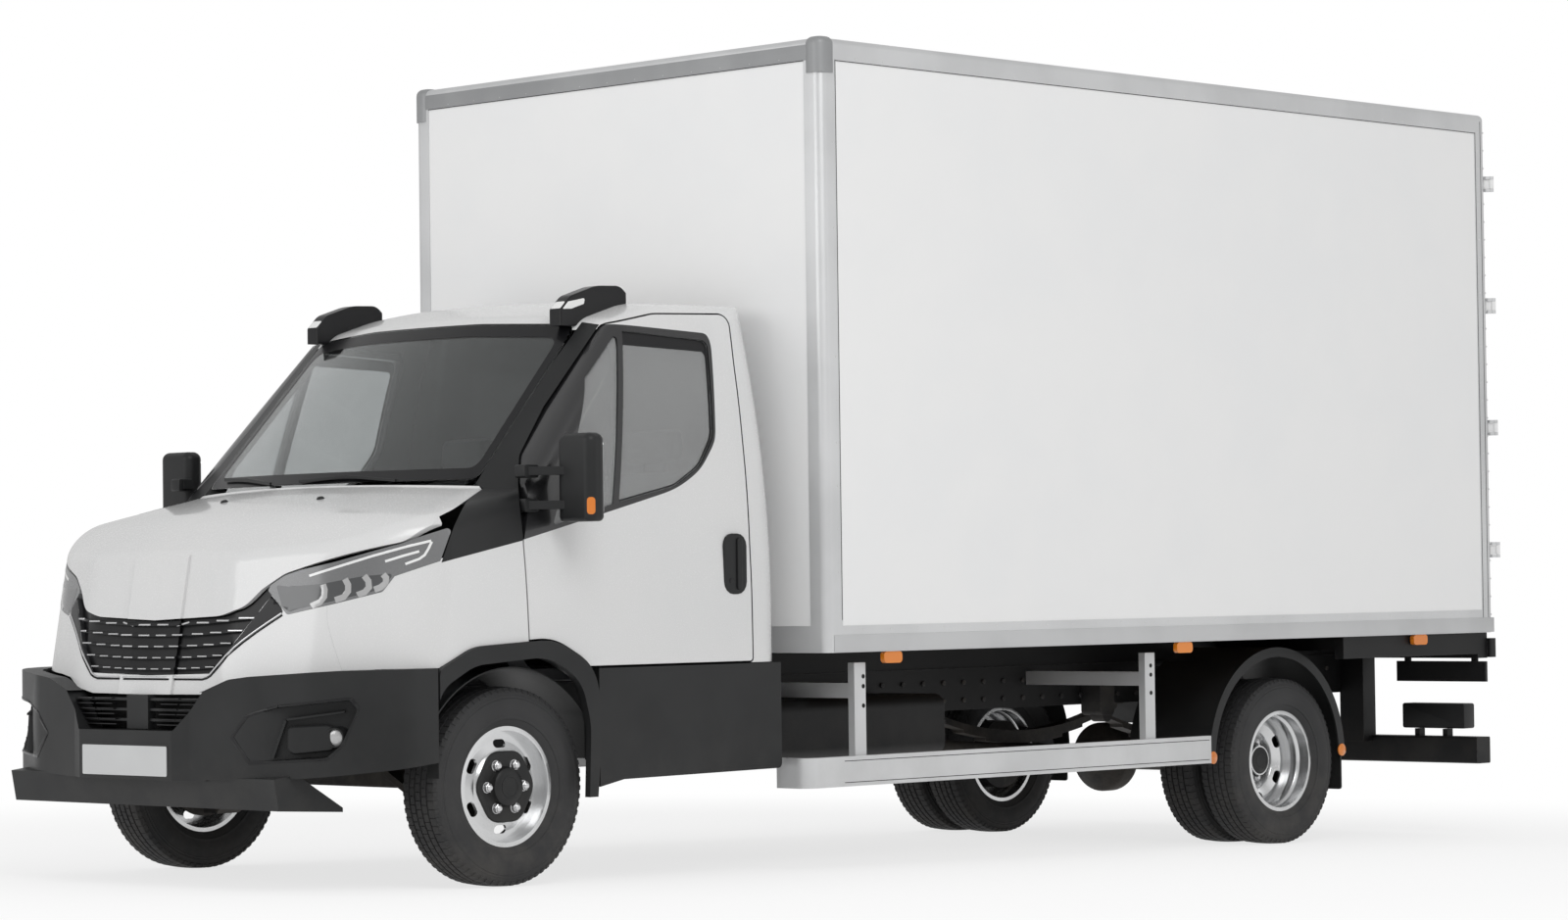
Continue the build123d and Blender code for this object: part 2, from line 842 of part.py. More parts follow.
rear_door_half = box_half - profile_width + 20 - panel_gap
meeting_gap = 5.0
hinge_x = box_half + rear_hinge_out
hinge_y = box_rear + rear_hinge_back
door_low = floor_up + panel_gap
door_high = box_top - profile_width - panel_gap
hinge_heights = [1150.0, 1690.0, 2230.0, 2770.0]
with BuildPart() as rear_door:
    with BuildSketch(Plane.XY.offset(door_low)):
        with Locations(((rear_door_half + meeting_gap) / 2, box_rear - rear_door_thickness / 2)):
            Rectangle(rear_door_half - meeting_gap, rear_door_thickness)
    extrude(amount=door_high - door_low)
    for hinge_up in hinge_heights:
        with BuildSketch(Plane.XY.offset(hinge_up - 20)):
            with BuildLine():
                Polyline([(rear_door_half - 180, box_rear), (rear_door_half - 180, box_rear + 7),
                          (hinge_x - 26, box_rear + 12), (hinge_x, hinge_y + 11), (hinge_x + 6, hinge_y),
                          (hinge_x - 4, hinge_y - 8), (hinge_x - 22, box_rear + 4),
                          (rear_door_half - 8, box_rear)], close=True)
            make_face()
            with Locations((hinge_x, hinge_y)):
                Circle(11)
                Circle(6.3, mode=Mode.SUBTRACT)
        extrude(amount=40)
    for bar_x in (160, 700):
        with BuildSketch(Plane.XY.offset(door_low + 20)):
            with Locations((bar_x, box_rear + 10)):
                Circle(9)
        extrude(amount=door_high - door_low - 40)
        for clamp_up in (1000, 1600, 2200, 2800):
            with BuildSketch(Plane.XY.offset(clamp_up)):
                with Locations((bar_x, box_rear + 7)):
                    RectangleRounded(60, 18, 4)
            extrude(amount=30)

with BuildPart() as rear_hinge:
    for hinge_up in hinge_heights:
        with BuildSketch(Plane.XY.offset(hinge_up - 34)):
            with Locations((hinge_x, hinge_y)):
                Circle(6)
        extrude(amount=68)
        for ear_up in (hinge_up - 34, hinge_up + 21):
            with BuildSketch(Plane.XY.offset(ear_up)):
                with Locations((hinge_x, hinge_y)):
                    Circle(11)
                with BuildLine():
                    Polyline([(box_half - 40, box_rear + seat_gap), (box_half - 40, box_rear + 8),
                              (hinge_x, hinge_y + 10), (hinge_x + 10, hinge_y), (box_half - 4, box_rear + seat_gap)],
                             close=True)
                make_face()
            extrude(amount=13)
    mirror(about=Plane.YZ)

# Chassis: two channel rails with cross members, and the subframe that carries the box

rail_bottom = rail_top - rail_height
# columns: back, bottom, top
cross_table = [
    (-640, 560, 650), (700, 616, 680), (1480, 570, 650), (2600, 560, 650),
    (3640, 560, 650), (4960, 560, 650), (5500, 560, 650),
]
with BuildPart() as chassis:
    with BuildSketch(Plane.XZ.offset(-rail_rear)):
        with BuildLine():
            Polyline([
                (rail_half, rail_bottom), (rail_half, rail_top), (rail_half - rail_flange, rail_top),
                (rail_half - rail_flange, rail_top - rail_wall), (rail_half - rail_wall, rail_top - rail_wall),
                (rail_half - rail_wall, rail_bottom + rail_wall),
                (rail_half - rail_flange, rail_bottom + rail_wall), (rail_half - rail_flange, rail_bottom),
            ], close=True)
        make_face()
        mirror(about=Plane.YZ)
    extrude(amount=rail_rear - rail_front)
    for place, low, high in cross_table:
        with BuildSketch(Plane.XZ.offset(-place - 30)):
            with Locations((0, (low + high) / 2)):
                Rectangle(2 * (rail_half - 2), high - low)
        extrude(amount=60)
    # mounts for the cab and the engine
    for mount_back in (120, 1150):
        with BuildSketch(Plane.XY.offset(rail_top - 4)):
            with Locations((rail_half - 30, mount_back), (30 - rail_half, mount_back)):
                Rectangle(56, 70)
        extrude(amount=cab_floor_low - seat_gap - rail_top + 4)
    for side in (-1, 1):
        with BuildSketch(Plane.XY.offset(560)):
            with Locations((side * (engine_half + seat_gap + rail_half - 2) / 2, -285)):
                Rectangle(rail_half - 2 - engine_half - seat_gap, 90)
        extrude(amount=40)
    with BuildSketch(Plane.XZ.offset(-cross_table[0][0] + 20)):
        with Locations((0, 605)):
            Rectangle(2 * 620, 60)
    extrude(amount=30)

bearer_out = 400.0
outer_rail_out = box_half - 53
buffer_out = box_half - 55
with BuildPart() as subframe:
    for bearer_x, start, stop, low in (
        (bearer_out, box_front + 20, box_rear - 40, rail_top + seat_gap),
        (outer_rail_out, 4600, box_rear - 60, 692),
    ):
        with BuildSketch(Plane.XY.offset(low)):
            with Locations((bearer_x, (start + stop) / 2), (-bearer_x, (start + stop) / 2)):
                Rectangle(46, stop - start)
        extrude(amount=box_bottom - seat_gap - low)
    with BuildSketch(Plane.XY.offset(673)):
        with Locations((0, box_rear - 50)):
            Rectangle(2 * (box_half - 30), 70)
    extrude(amount=box_bottom - seat_gap - 673)
    for place in (4640, 5150):
        with BuildSketch(Plane.XY.offset(725)):
            with Locations((0, place)):
                Rectangle(2 * outer_rail_out, 50)
        extrude(amount=box_bottom - seat_gap - 725)
    for side in (-1, 1):
        with BuildSketch(Plane.XY.offset(676)):
            with Locations((side * buffer_out, box_rear + 6)):
                RectangleRounded(90, 44, 8)
        extrude(amount=84)

# Side guards: a deep rail each side on two uprights

guard_out = box_half - 45
guard_low = 286.0
guard_high = 398.0
upright_places = [1650.0, 3360.0]
with BuildPart() as side_guard:
    with BuildSketch(Plane.XY.offset(guard_low)):
        with BuildLine():
            FilletPolyline(
                [(guard_out, 3712), (guard_out, 1330), (guard_out - 160, 1330), (guard_out - 160, 1360),
                 (guard_out - 30, 1360), (guard_out - 30, 3712)],
                radius=[0, 60, 0, 0, 32, 0],
                close=True,
            )
        make_face()
    extrude(amount=guard_high - guard_low)
    for place in upright_places:
        with BuildSketch(Plane.XY.offset(guard_low + 10)):
            with Locations((guard_out - 46, place)):
                Rectangle(32.2, 62)
        extrude(amount=745 - guard_low - 10)
        with BuildSketch(Plane.YZ.offset(rail_half + seat_gap)):
            with Locations((place, 640)):
                Rectangle(50, 56)
        extrude(amount=guard_out - 60 - rail_half - seat_gap)

# Rear mudguards with flaps

guard_centre_back = wheelbase - 46
guard_centre_up = 285.0
guard_radius = 462.0
with BuildPart() as mudguard:
    with BuildSketch(Plane.YZ.offset(556)):
        with Locations((guard_centre_back, guard_centre_up)):
            Circle(guard_radius)
            Circle(guard_radius - 7, mode=Mode.SUBTRACT)
            with Locations((0, -600)):
                Rectangle(1200, 1200, mode=Mode.SUBTRACT)
    extrude(amount=985 - 556)
    with BuildSketch(Plane.YZ.offset(979)):
        with Locations((guard_centre_back, guard_centre_up)):
            Circle(guard_radius)
            Circle(guard_radius - 40, mode=Mode.SUBTRACT)
            with Locations((0, -600)):
                Rectangle(1200, 1200, mode=Mode.SUBTRACT)
    extrude(amount=9)
    with BuildSketch(Plane.XZ.offset(-guard_centre_back - guard_radius)):
        with Locations((770, 215)):
            RectangleRounded(400, 170, 12)
    extrude(amount=8)
    for place in (guard_centre_back - 200, guard_centre_back + 200):
        with BuildSketch(Plane.YZ.offset(rail_half + seat_gap)):
            with Locations((place, 688)):
                Circle(16)
        extrude(amount=700 - rail_half)

# Rear underrun beam on two posts, with the lamp units standing on it

beam_back = box_rear - 76
beam_half = box_half - 15
lamp_out = box_half - 283
with BuildPart() as underrun:
    with BuildSketch(Plane.YZ.offset(-beam_half)):
        with Locations((beam_back, 269)):
            RectangleRounded(100, 116, 8)
    extrude(amount=2 * beam_half)
    for side in (-1, 1):
        with BuildSketch(Plane.XY.offset(300)):
            with Locations((side * (rail_half + 65), beam_back - 60)):
                Rectangle(129, 90)
        extrude(amount=rail_top - 300)
        with BuildSketch(Plane.XY.offset(320)):
            with Locations((side * (lamp_out - 72), beam_back), (side * (lamp_out + 78), beam_back)):
                Rectangle(26, 40)
        extrude(amount=40)
        with BuildSketch(Plane.XY.offset(569)):
            with Locations((side * (lamp_out + 40), box_rear - 60)):
                Rectangle(478, 16)
        extrude(amount=90)
        with BuildSketch(Plane.XY.offset(600)):
            with Locations((side * (lamp_out - 142), box_rear - 60), (side * (lamp_out + 218), box_rear - 60)):
                Rectangle(30, 12)
        extrude(amount=673 - 600 - seat_gap)

with BuildPart() as tail_lamps:
    with BuildSketch(Plane.XY.offset(360.3)):
        with Locations((lamp_out, beam_back)):
            RectangleRounded(334, 84, 8)
    extrude(amount=112)
    mirror(about=Plane.YZ)

# Tanks and boxes slung under the frame

tank_top = 604.0
with BuildPart() as tanks:
    for side, start, stop, out, low in ((1, 1475, 2420, 800, 370), (-1, 1475, 2150, 800, 380)):
        with BuildSketch(Plane.XZ.offset(-stop)):
            with Locations((side * (rail_half + seat_gap + out) / 2, (low + tank_top) / 2)):
                RectangleRounded(out - rail_half - seat_gap, tank_top - low, 50)
        extrude(amount=stop - start)
    # silencer on the right
    with BuildSketch(Plane.XZ.offset(-3150)):
        with Locations((-(rail_half + seat_gap + 128), 560)):
            Ellipse(128, 90)
    extrude(amount=700)

# Rear axle with differential and propeller shaft

hub_back = wheelbase
hub_up = rear_hub_height
axle_radius = 52.0
leaf_base = hub_up + axle_radius + seat_gap
shaft_drop = shaft_front_up - hub_up
shaft_run = hub_back - 120 - shaft_front_back - 3.4  # its tilted end clears the gearbox
shaft_length = math.hypot(shaft_run, shaft_drop)
shaft_plane = Plane((0, hub_back - 120, hub_up), x_dir=(1, 0, 0), z_dir=(0, -shaft_run, shaft_drop))
with BuildPart() as rear_axle:
    # columns: half length, radius
    for half_length, radius in ((710, axle_radius), (rear_outer_half - twin_spacing / 2 - 10 - seat_gap, 60)):
        with BuildSketch(Plane.YZ.offset(-half_length)):
            with Locations((hub_back, hub_up)):
                Circle(radius)
                if radius > axle_radius:
                    Circle(40, mode=Mode.SUBTRACT)
        extrude(amount=half_length - 640)
        mirror(about=Plane.YZ)
    with BuildSketch(Plane.YZ.offset(-660)):
        with Locations((hub_back, hub_up)):
            Circle(axle_radius)
    extrude(amount=1320)
    for side in (-1, 1):
        with BuildSketch(Plane.YZ.offset(side * 650 - 50)):
            with Locations((hub_back, hub_up)):
                Circle(150)
        extrude(amount=100)
    with BuildSketch(Plane((0, hub_back, hub_up), x_dir=(1, 0, 0), z_dir=(0, 0, 1))):
        with BuildLine():
            FilletPolyline(
                [(0, -130), (62, -130), (150, -40), (150, 45), (110, 88), (0, 96)],
                radius=[0, 8, 40, 40, 40, 0],
                close=True,
            )
        make_face()
    revolve(axis=Axis((0, hub_back, hub_up), (0, 1, 0)))
    with BuildSketch(shaft_plane):
        Circle(47)
    extrude(amount=60)
    with BuildSketch(shaft_plane):
        Circle(38)
    extrude(amount=shaft_length)

spring_out = 500.0
spring_half = 620.0
with BuildPart() as leaf_springs:
    for leaf, leaf_half in enumerate((620, 520, 400, 260)):
        with BuildSketch(Plane.YZ.offset(spring_out - 35)):
            with BuildLine():
                low = ThreePointArc(
                    (hub_back - leaf_half, leaf_base + leaf_half**2 / 3700 + (3 - leaf) * 14),
                    (hub_back, leaf_base + (3 - leaf) * 14),
                    (hub_back + leaf_half, leaf_base + leaf_half**2 / 3700 + (3 - leaf) * 14),
                )
                high = ThreePointArc(
                    (hub_back - leaf_half, leaf_base + 14.5 + leaf_half**2 / 3700 + (3 - leaf) * 14),
                    (hub_back, leaf_base + 14.5 + (3 - leaf) * 14),
                    (hub_back + leaf_half, leaf_base + 14.5 + leaf_half**2 / 3700 + (3 - leaf) * 14),
                )
                Line(low @ 0, high @ 0)
                Line(low @ 1, high @ 1)
            make_face()
        extrude(amount=70)
    for place in (hub_back - spring_half, hub_back + spring_half):
        with BuildSketch(Plane.YZ.offset(spring_out - 35)):
            with Locations((place, leaf_base + 56 + spring_half**2 / 3700)):
                Circle(32)
        extrude(amount=70)
        with BuildSketch(Plane.YZ.offset(rail_half + seat_gap)):
            with Locations((place, 560)):
                RectangleRounded(90, 170, 20)
        extrude(amount=spring_out + 36 - rail_half - seat_gap)
    mirror(about=Plane.YZ)

# Front suspension: cross member and two arms a side

hub_height = tyre_radius
pin_radius = 15.0
# columns: inner end, inner half width, inner up, outer up
arm_table = [(400.0, 120.0, 400.0, 226.0), (rail_half + seat_gap, 70.0, 544.0, 486.0)]
with BuildPart() as suspension:
    with BuildSketch(Plane.XZ.offset(-75)):
        with Locations((0, 376)):
            Rectangle(2 * rail_half - 20, 80)
    extrude(amount=150)
    for side in (-1, 1):
        with BuildSketch(Plane.XY.offset(340)):
            with Locations((side * 385, 0)):
                Rectangle(70, 150)
        extrude(amount=rail_bottom - seat_gap - 340)
    for arm_start, inner_half, inner_up, outer_up in arm_table:
        with BuildSketch(Plane.XZ.offset(-inner_half)):
            with BuildLine():
                Polyline([(arm_start, inner_up - 14), (arm_start, inner_up + 14), (640, outer_up + 14),
                          (steer_axis_half, outer_up + 14), (steer_axis_half, outer_up - 14), (640, outer_up - 14)],
                         close=True)
            make_face()
        extrude(amount=2 * inner_half)
    for side in (-1, 1):
        with BuildSketch(Plane.XY.offset(150)):
            with BuildLine():
                Polyline([(rail_half, 260), (rail_half, 121), (steer_axis_half - 60, 40), (steer_axis_half, 40),
                          (steer_axis_half + 60, 40), (steer_axis_half + 60, 260)], close=True)
            make_face()
            mirror(about=Plane.XZ)
        extrude(amount=rail_bottom + 40, mode=Mode.SUBTRACT)
    with BuildSketch(Plane.XY.offset(150)):
        with Locations((steer_axis_half, 0)):
            Circle(pin_radius + 0.5)
    extrude(amount=500, mode=Mode.SUBTRACT)
    mirror(about=Plane.YZ)

with BuildPart() as knuckle:
    with BuildSketch(Plane.XY.offset(246)):
        with Locations((steer_axis_half, 0)):
            RectangleRounded(70, 90, 14)
    extrude(amount=466 - 246)
    with BuildSketch(Plane.XY.offset(212)):
        with Locations((steer_axis_half, 0)):
            Circle(pin_radius)
    extrude(amount=500 - 212)
    with BuildSketch(Plane.YZ.offset(steer_axis_half)):
        with Locations((0, hub_height)):
            Circle(36)
    extrude(amount=front_track_half - 18 - seat_gap - steer_axis_half)
    with BuildSketch(Plane.YZ.offset(steer_axis_half + 36)):
        with Locations((0, hub_height)):
            Circle(150)
    extrude(amount=24)

# Wheels. Every section is drawn on the wheel's own axle and then set at its place.

rim_half = 71.0
flange_radius = 214.0
# columns: across, radius, corner radius
tyre_section = [
    (-60, rim_radius + seat_gap, 0),
    (-66, 214, 6),
    (-97.5, 268, 40),
    (-88, 332, 24),
    (-70, tyre_radius - 1, 12),
    (0, tyre_radius, 0),
    (70, tyre_radius - 1, 12),
    (88, 332, 24),
    (97.5, 268, 40),
    (66, 214, 6),
    (60, rim_radius + seat_gap, 0),
    (48, rim_radius + seat_gap, 0),
    (84, 272, 30),
    (72, 326, 20),
    (-72, 326, 20),
    (-84, 272, 30),
    (-48, rim_radius + seat_gap, 0),
]
rim_section = [
    (-rim_half, 196, 0),
    (-rim_half, flange_radius, 2),
    (-rim_half + 4.6, flange_radius, 0),
    (-rim_half + 4.8, rim_radius, 4),
    (-30, rim_radius, 8),
    (-20, 190, 8),
    (20, 190, 8),
    (30, rim_radius, 8),
    (rim_half - 4.8, rim_radius, 4),
    (rim_half - 4.6, flange_radius, 0),
    (rim_half, flange_radius, 2),
    (rim_half, 196, 0),
    (26, 194, 0),
    (16, 182, 8),
    (-16, 182, 8),
    (-26, 194, 0),
]


def ring(section, x, y, z):
    """A ring of the given section on an axle along X."""
    with BuildPart() as solid:
        with BuildSketch(Plane.XY):
            with BuildLine():
                FilletPolyline(
                    [(a, b) for a, b, r in section], radius=[r for a, b, r in section], close=True
                )
            make_face()
        revolve(axis=Axis.X)
    return solid.part.moved(Location((x, y, z)))


window_count = 6
nut_circle = 86.0


def disc(x, y, z, depth, dished_out, hub_reach):
    """A wheel's pressed disc with its windows, hub and nuts, dished out to +X or in to -X."""
    way = 1 if dished_out else -1
    outer_face = 10 if dished_out else 0
    with BuildPart() as solid:
        with BuildSketch(Plane.XY):
            with BuildLine():
                FilletPolyline(
                    [(0, 0), (0, 110), (way * depth, 128), (way * depth * 1.6, 160), (way * depth * 1.6, 198),
                     (way * (depth * 1.6 + 9), 198), (way * (depth * 1.6 + 9), 155), (way * (depth + 11), 120),
                     (way * 10, 100), (way * 10, 0)],
                    radius=[0, 4, 10, 10, 0, 0, 10, 10, 8, 0],
                    close=True,
                )
            make_face()
        revolve(axis=Axis.X)
        with BuildSketch(Plane.YZ.offset(-100)):
            with PolarLocations(150, window_count, start_angle=30):
                SlotOverall(56, 30, rotation=90)
        extrude(amount=200, mode=Mode.SUBTRACT)
        with BuildSketch(Plane.YZ.offset(outer_face - 8)):
            Circle(62)
        extrude(amount=hub_reach + 8)
        if hub_reach:
            with BuildSketch(Plane.YZ.offset(outer_face)):
                with PolarLocations(nut_circle, window_count):
                    RegularPolygon(14, 6)
            extrude(amount=18)
    return solid.part.moved(Location((x, y, z)))


with BuildPart() as front_rim:
    add(ring(rim_section, front_track_half, 0, hub_height))
    add(disc(front_track_half + 58, 0, hub_height, 16, False, 26))
    with BuildSketch(Plane.YZ.offset(front_track_half - 18)):
        with Locations((0, hub_height)):
            Circle(60)
    extrude(amount=74)

front_tyre = ring(tyre_section, front_track_half, 0, hub_height)

rear_mid = rear_outer_half - twin_spacing / 2
with BuildPart() as rear_rim:
    for centre, x, dished_out, reach in (
        (rear_outer_half, rear_mid + seat_gap, True, 64),
        (rear_outer_half - twin_spacing, rear_mid, False, 0),
    ):
        add(ring(rim_section, centre, hub_back, hub_up))
        add(disc(x, hub_back, hub_up, 34, dished_out, reach))

with BuildPart() as rear_tyres:
    add(ring(tyre_section, rear_outer_half, hub_back, hub_up))
    add(ring(tyre_section, rear_outer_half - twin_spacing, hub_back, hub_up))

# Names of the pieces; those with a twin on the right are mirrored

single = {
    "bonnet": bonnet, "grille": grille, "windscreen": windscreen, "nose_panel": nose, "cab_shell": cab_shell,
    "cab_floor": cab_floor, "front_bumper": bumper, "number_plate": plate, "wipers": wipers, "seats": seats,
    "dashboard": dashboard, "engine": engine, "box_floor": box_floor, "box_front_wall": box_front_wall,
    "box_sides": box_sides, "box_roof": box_roof, "box_profiles": box_profiles, "corner_caps": corner_caps,
    "rear_hinges": rear_hinge, "chassis_frame": chassis, "subframe": subframe, "underrun_beam": underrun,
    "tail_lamps": tail_lamps, "tanks": tanks, "rear_axle": rear_axle, "leaf_springs": leaf_springs,
    "front_suspension": suspension,
}
both_sides = {
    "pillar_panels": pillar, "front_wings": wing, "headlamps": headlamp, "lower_cladding": cladding,
    "roof_lamps": roof_lamp, "side_markers": side_marker, "side_guards": side_guard, "rear_mudguards": mudguard,
}
left_and_right = {
    "door_panel": door.part, "door_glass": door_glass.part, "mirror": mirror_unit.part,
    "rear_door": rear_door.part, "knuckle": knuckle.part, "front_tyre": front_tyre, "front_rim": front_rim.part,
    "rear_tyres": rear_tyres.part, "rear_rims": rear_rim.part,
}
for name, builder in single.items():
    keep(name, builder.part)
for name, builder in both_sides.items():
    with BuildPart() as pair:
        add(builder.part)
        mirror(about=Plane.YZ)
    keep(name, pair.part)
for name, solid in left_and_right.items():
    keep(name + "_left", solid)
    keep(name + "_right", solid.mirror(Plane.YZ))

# Stance: tip about the front axle, then put the origin in the middle of the footprint

stance = Location((0, 0, tyre_radius)) * Location((0, 0, 0), (rake, 0, 0)) * Location((0, 0, -tyre_radius))
boxes = [part.moved(stance).bounding_box(optimal=False) for part in pieces.values()]
front_most = min(box.min.Y for box in boxes)
rear_most = max(box.max.Y for box in boxes)
origin_back = (front_most + rear_most) / 2
print("origin is", round(origin_back, 4), "mm behind the front axle; lowest", min(box.min.Z for box in boxes))

os.makedirs("parts", exist_ok=True)
place = Location((0, -origin_back, 0)) * stance
for name, part in pieces.items():
    placed = part.moved(place)
    placed.label = name
    export_step(placed, "parts/" + name + ".step")
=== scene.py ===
import math

import bmesh
import bpy
from mathutils import Matrix, Vector
from mathutils.bvhtree import BVHTree
from mathutils.geometry import tessellate_polygon


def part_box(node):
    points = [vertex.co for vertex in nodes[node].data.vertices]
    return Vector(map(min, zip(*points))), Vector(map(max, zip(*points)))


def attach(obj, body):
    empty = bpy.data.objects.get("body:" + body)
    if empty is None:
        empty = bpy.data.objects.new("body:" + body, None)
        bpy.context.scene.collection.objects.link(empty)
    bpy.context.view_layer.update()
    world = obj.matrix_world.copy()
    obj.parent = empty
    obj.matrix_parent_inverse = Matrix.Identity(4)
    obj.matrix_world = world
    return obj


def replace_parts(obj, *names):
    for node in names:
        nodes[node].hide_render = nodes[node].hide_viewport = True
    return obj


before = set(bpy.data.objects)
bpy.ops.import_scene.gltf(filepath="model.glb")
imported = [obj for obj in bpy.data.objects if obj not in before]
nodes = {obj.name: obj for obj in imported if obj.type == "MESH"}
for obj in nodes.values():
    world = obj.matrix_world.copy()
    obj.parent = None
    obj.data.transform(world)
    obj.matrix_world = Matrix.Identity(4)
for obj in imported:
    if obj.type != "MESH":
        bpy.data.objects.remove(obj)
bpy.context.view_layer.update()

# The truck is drawn in its own chassis frame, in millimetres: origin on the ground under the front axle,
# X to the truck's left, Y to the rear, Z up. The stance tips it nose-down and takes it to the row frame.
stanceSettings = {"rake": 1.089, "tyreRadius": 349.5, "back": 2362.0841}

lift = Matrix.Translation((0, 0, stanceSettings["tyreRadius"]))
tip = Matrix.Rotation(math.radians(stanceSettings["rake"]), 4, "X")
shift = Matrix.Translation((0, -stanceSettings["back"], 0))
toRow = Matrix.Scale(0.001, 4) @ shift @ lift @ tip @ lift.inverted()
toChassis = toRow.inverted()

sides = {"left": 1, "right": -1}


# Node groups and their sockets; a socket is given by its value, or by its type where it has none

def newGroup(name, inputs, outputs, kind="ShaderNodeTree"):
    group = bpy.data.node_groups.new(name, kind)
    for way, sockets in (("INPUT", inputs), ("OUTPUT", outputs)):
        for label, value in sockets.items():
            if isinstance(value, str):
                group.interface.new_socket(label, in_out=way, socket_type=value)
                continue
            sort = "Float" if isinstance(value, float) else "Color" if len(value) == 4 else "Vector"
            group.interface.new_socket(label, in_out=way, socket_type="NodeSocket" + sort).default_value = value
    return group, group.nodes.new("NodeGroupInput").outputs, group.nodes.new("NodeGroupOutput").inputs


def addNode(tree, kind, settings=None, **values):
    # values: input sockets by name, or by number as i0, i1
    node = tree.nodes.new(kind)
    for key, value in (settings or {}).items():
        setattr(node, key, value)
    for key, value in values.items():
        socket = node.inputs[int(key[1:])] if key[0] == "i" and key[1:].isdigit() else node.inputs[key]
        if isinstance(value, bpy.types.NodeSocket):
            tree.links.new(value, socket)
        else:
            socket.default_value = value
    return node


def feed(tree, sockets, sources):
    for label, source in sources.items():
        tree.links.new(source, sockets[label])


def mathNode(tree, operation, *values, clamp=False):
    inputs = {"i%d" % k: value for k, value in enumerate(values)}
    return addNode(tree, "ShaderNodeMath", {"operation": operation, "use_clamp": clamp}, **inputs).outputs[0]


def vectorNode(tree, operation, *values):
    inputs = {"i%d" % k: value for k, value in enumerate(values)}
    node = addNode(tree, "ShaderNodeVectorMath", {"operation": operation}, **inputs)
    return node.outputs["Value" if operation in ("DOT_PRODUCT", "LENGTH") else "Vector"]


def objectPlace(tree):
    return addNode(tree, "ShaderNodeTexCoord").outputs["Object"]


def noiseNode(tree, where, scale, detail, roughness=0.5):
    return addNode(tree, "ShaderNodeTexNoise", Vector=where, Scale=scale, Detail=detail, Roughness=roughness).outputs[0]


def mixColour(tree, factor, first, second):
    return addNode(tree, "ShaderNodeMix", {"data_type": "RGBA"}, i0=factor, i6=first, i7=second).outputs[2]


def rampBetween(tree, value, low, high, start=0.0, stop=1.0):
    return addNode(tree, "ShaderNodeMapRange", {"interpolation_type": "SMOOTHSTEP"},
                   i0=value, i1=low, i2=high, i3=start, i4=stop).outputs[0]


# Road dust: more of it low down, broken up by noise
dustSettings = {"cloud": (7.0, 6.0, 0.62), "edges": (0.35, 0.7), "roughen": 0.5}
dustGroup, given, result = newGroup(
    "roadDust",
    {"Colour": (0.5, 0.5, 0.5, 1), "Dust": (0.34, 0.31, 0.27, 1), "Roughness": 0.5, "Amount": 0.2, "Top": 0.9},
    {"Colour": "NodeSocketColor", "Roughness": "NodeSocketFloat"},
)
where = objectPlace(dustGroup)
height = addNode(dustGroup, "ShaderNodeSeparateXYZ", i0=where).outputs[2]
cloud = rampBetween(dustGroup, noiseNode(dustGroup, where, *dustSettings["cloud"]), *dustSettings["edges"])
amount = mathNode(dustGroup, "MULTIPLY", rampBetween(dustGroup, height, given["Top"], 0.0), cloud)
amount = mathNode(dustGroup, "MULTIPLY", amount, given["Amount"], clamp=True)
rough = mathNode(dustGroup, "MULTIPLY_ADD", amount, dustSettings["roughen"], given["Roughness"], clamp=True)
feed(dustGroup, result, {"Colour": mixColour(dustGroup, amount, given["Colour"], given["Dust"]), "Roughness": rough})

# Grain: fine height and a soft variation, for plastics, paint and rubber
grainSettings = {"fine": (3.0, 0.55), "broad": (2.3, 3.0)}
grainGroup, given, result = newGroup(
    "surfaceGrain", {"Scale": 900.0, "Stretch": (1, 1, 1)},
    {"Height": "NodeSocketFloat", "Variation": "NodeSocketFloat"},
)
where = objectPlace(grainGroup)
stretched = vectorNode(grainGroup, "MULTIPLY", where, given["Stretch"])
feed(grainGroup, result, {"Height": noiseNode(grainGroup, stretched, given["Scale"], *grainSettings["fine"]),
                          "Variation": noiseNode(grainGroup, where, *grainSettings["broad"])})

# Inner side: 1 on faces that look towards the middle of the cab
innerSettings = {"facing": -0.12}
innerGroup, given, result = newGroup("innerSide", {"Centre": (0, 0, 0)}, {"Mask": "NodeSocketFloat"})
trueNormal = addNode(innerGroup, "ShaderNodeNewGeometry").outputs["True Normal"]
outward = vectorNode(innerGroup, "SUBTRACT", objectPlace(innerGroup), given["Centre"])
facing = vectorNode(innerGroup, "DOT_PRODUCT", trueNormal, vectorNode(innerGroup, "NORMALIZE", outward))
feed(innerGroup, result, {"Mask": mathNode(innerGroup, "LESS_THAN", facing, innerSettings["facing"])})

# Edge wear: 1 along sharp edges, from the difference between rounded and plain normals
edgeSettings = {"samples": 4, "alike": (0.995, 0.9), "noise": (60.0, 4.0), "broken": (0.35, 0.6)}
wearGroup, given, result = newGroup("edgeWear", {"Width": 0.004, "Strength": 1.0}, {"Mask": "NodeSocketFloat"})
rounded = addNode(wearGroup, "ShaderNodeBevel", {"samples": edgeSettings["samples"]}, Radius=given["Width"]).outputs[0]
plain = addNode(wearGroup, "ShaderNodeNewGeometry").outputs["Normal"]
edge = rampBetween(wearGroup, vectorNode(wearGroup, "DOT_PRODUCT", rounded, plain), *edgeSettings["alike"])
broken = noiseNode(wearGroup, objectPlace(wearGroup), *edgeSettings["noise"])
edge = mathNode(wearGroup, "MULTIPLY", edge, rampBetween(wearGroup, broken, *edgeSettings["broken"]))
feed(wearGroup, result, {"Mask": mathNode(wearGroup, "MULTIPLY", edge, given["Strength"], clamp=True)})
print("shader groups ready")

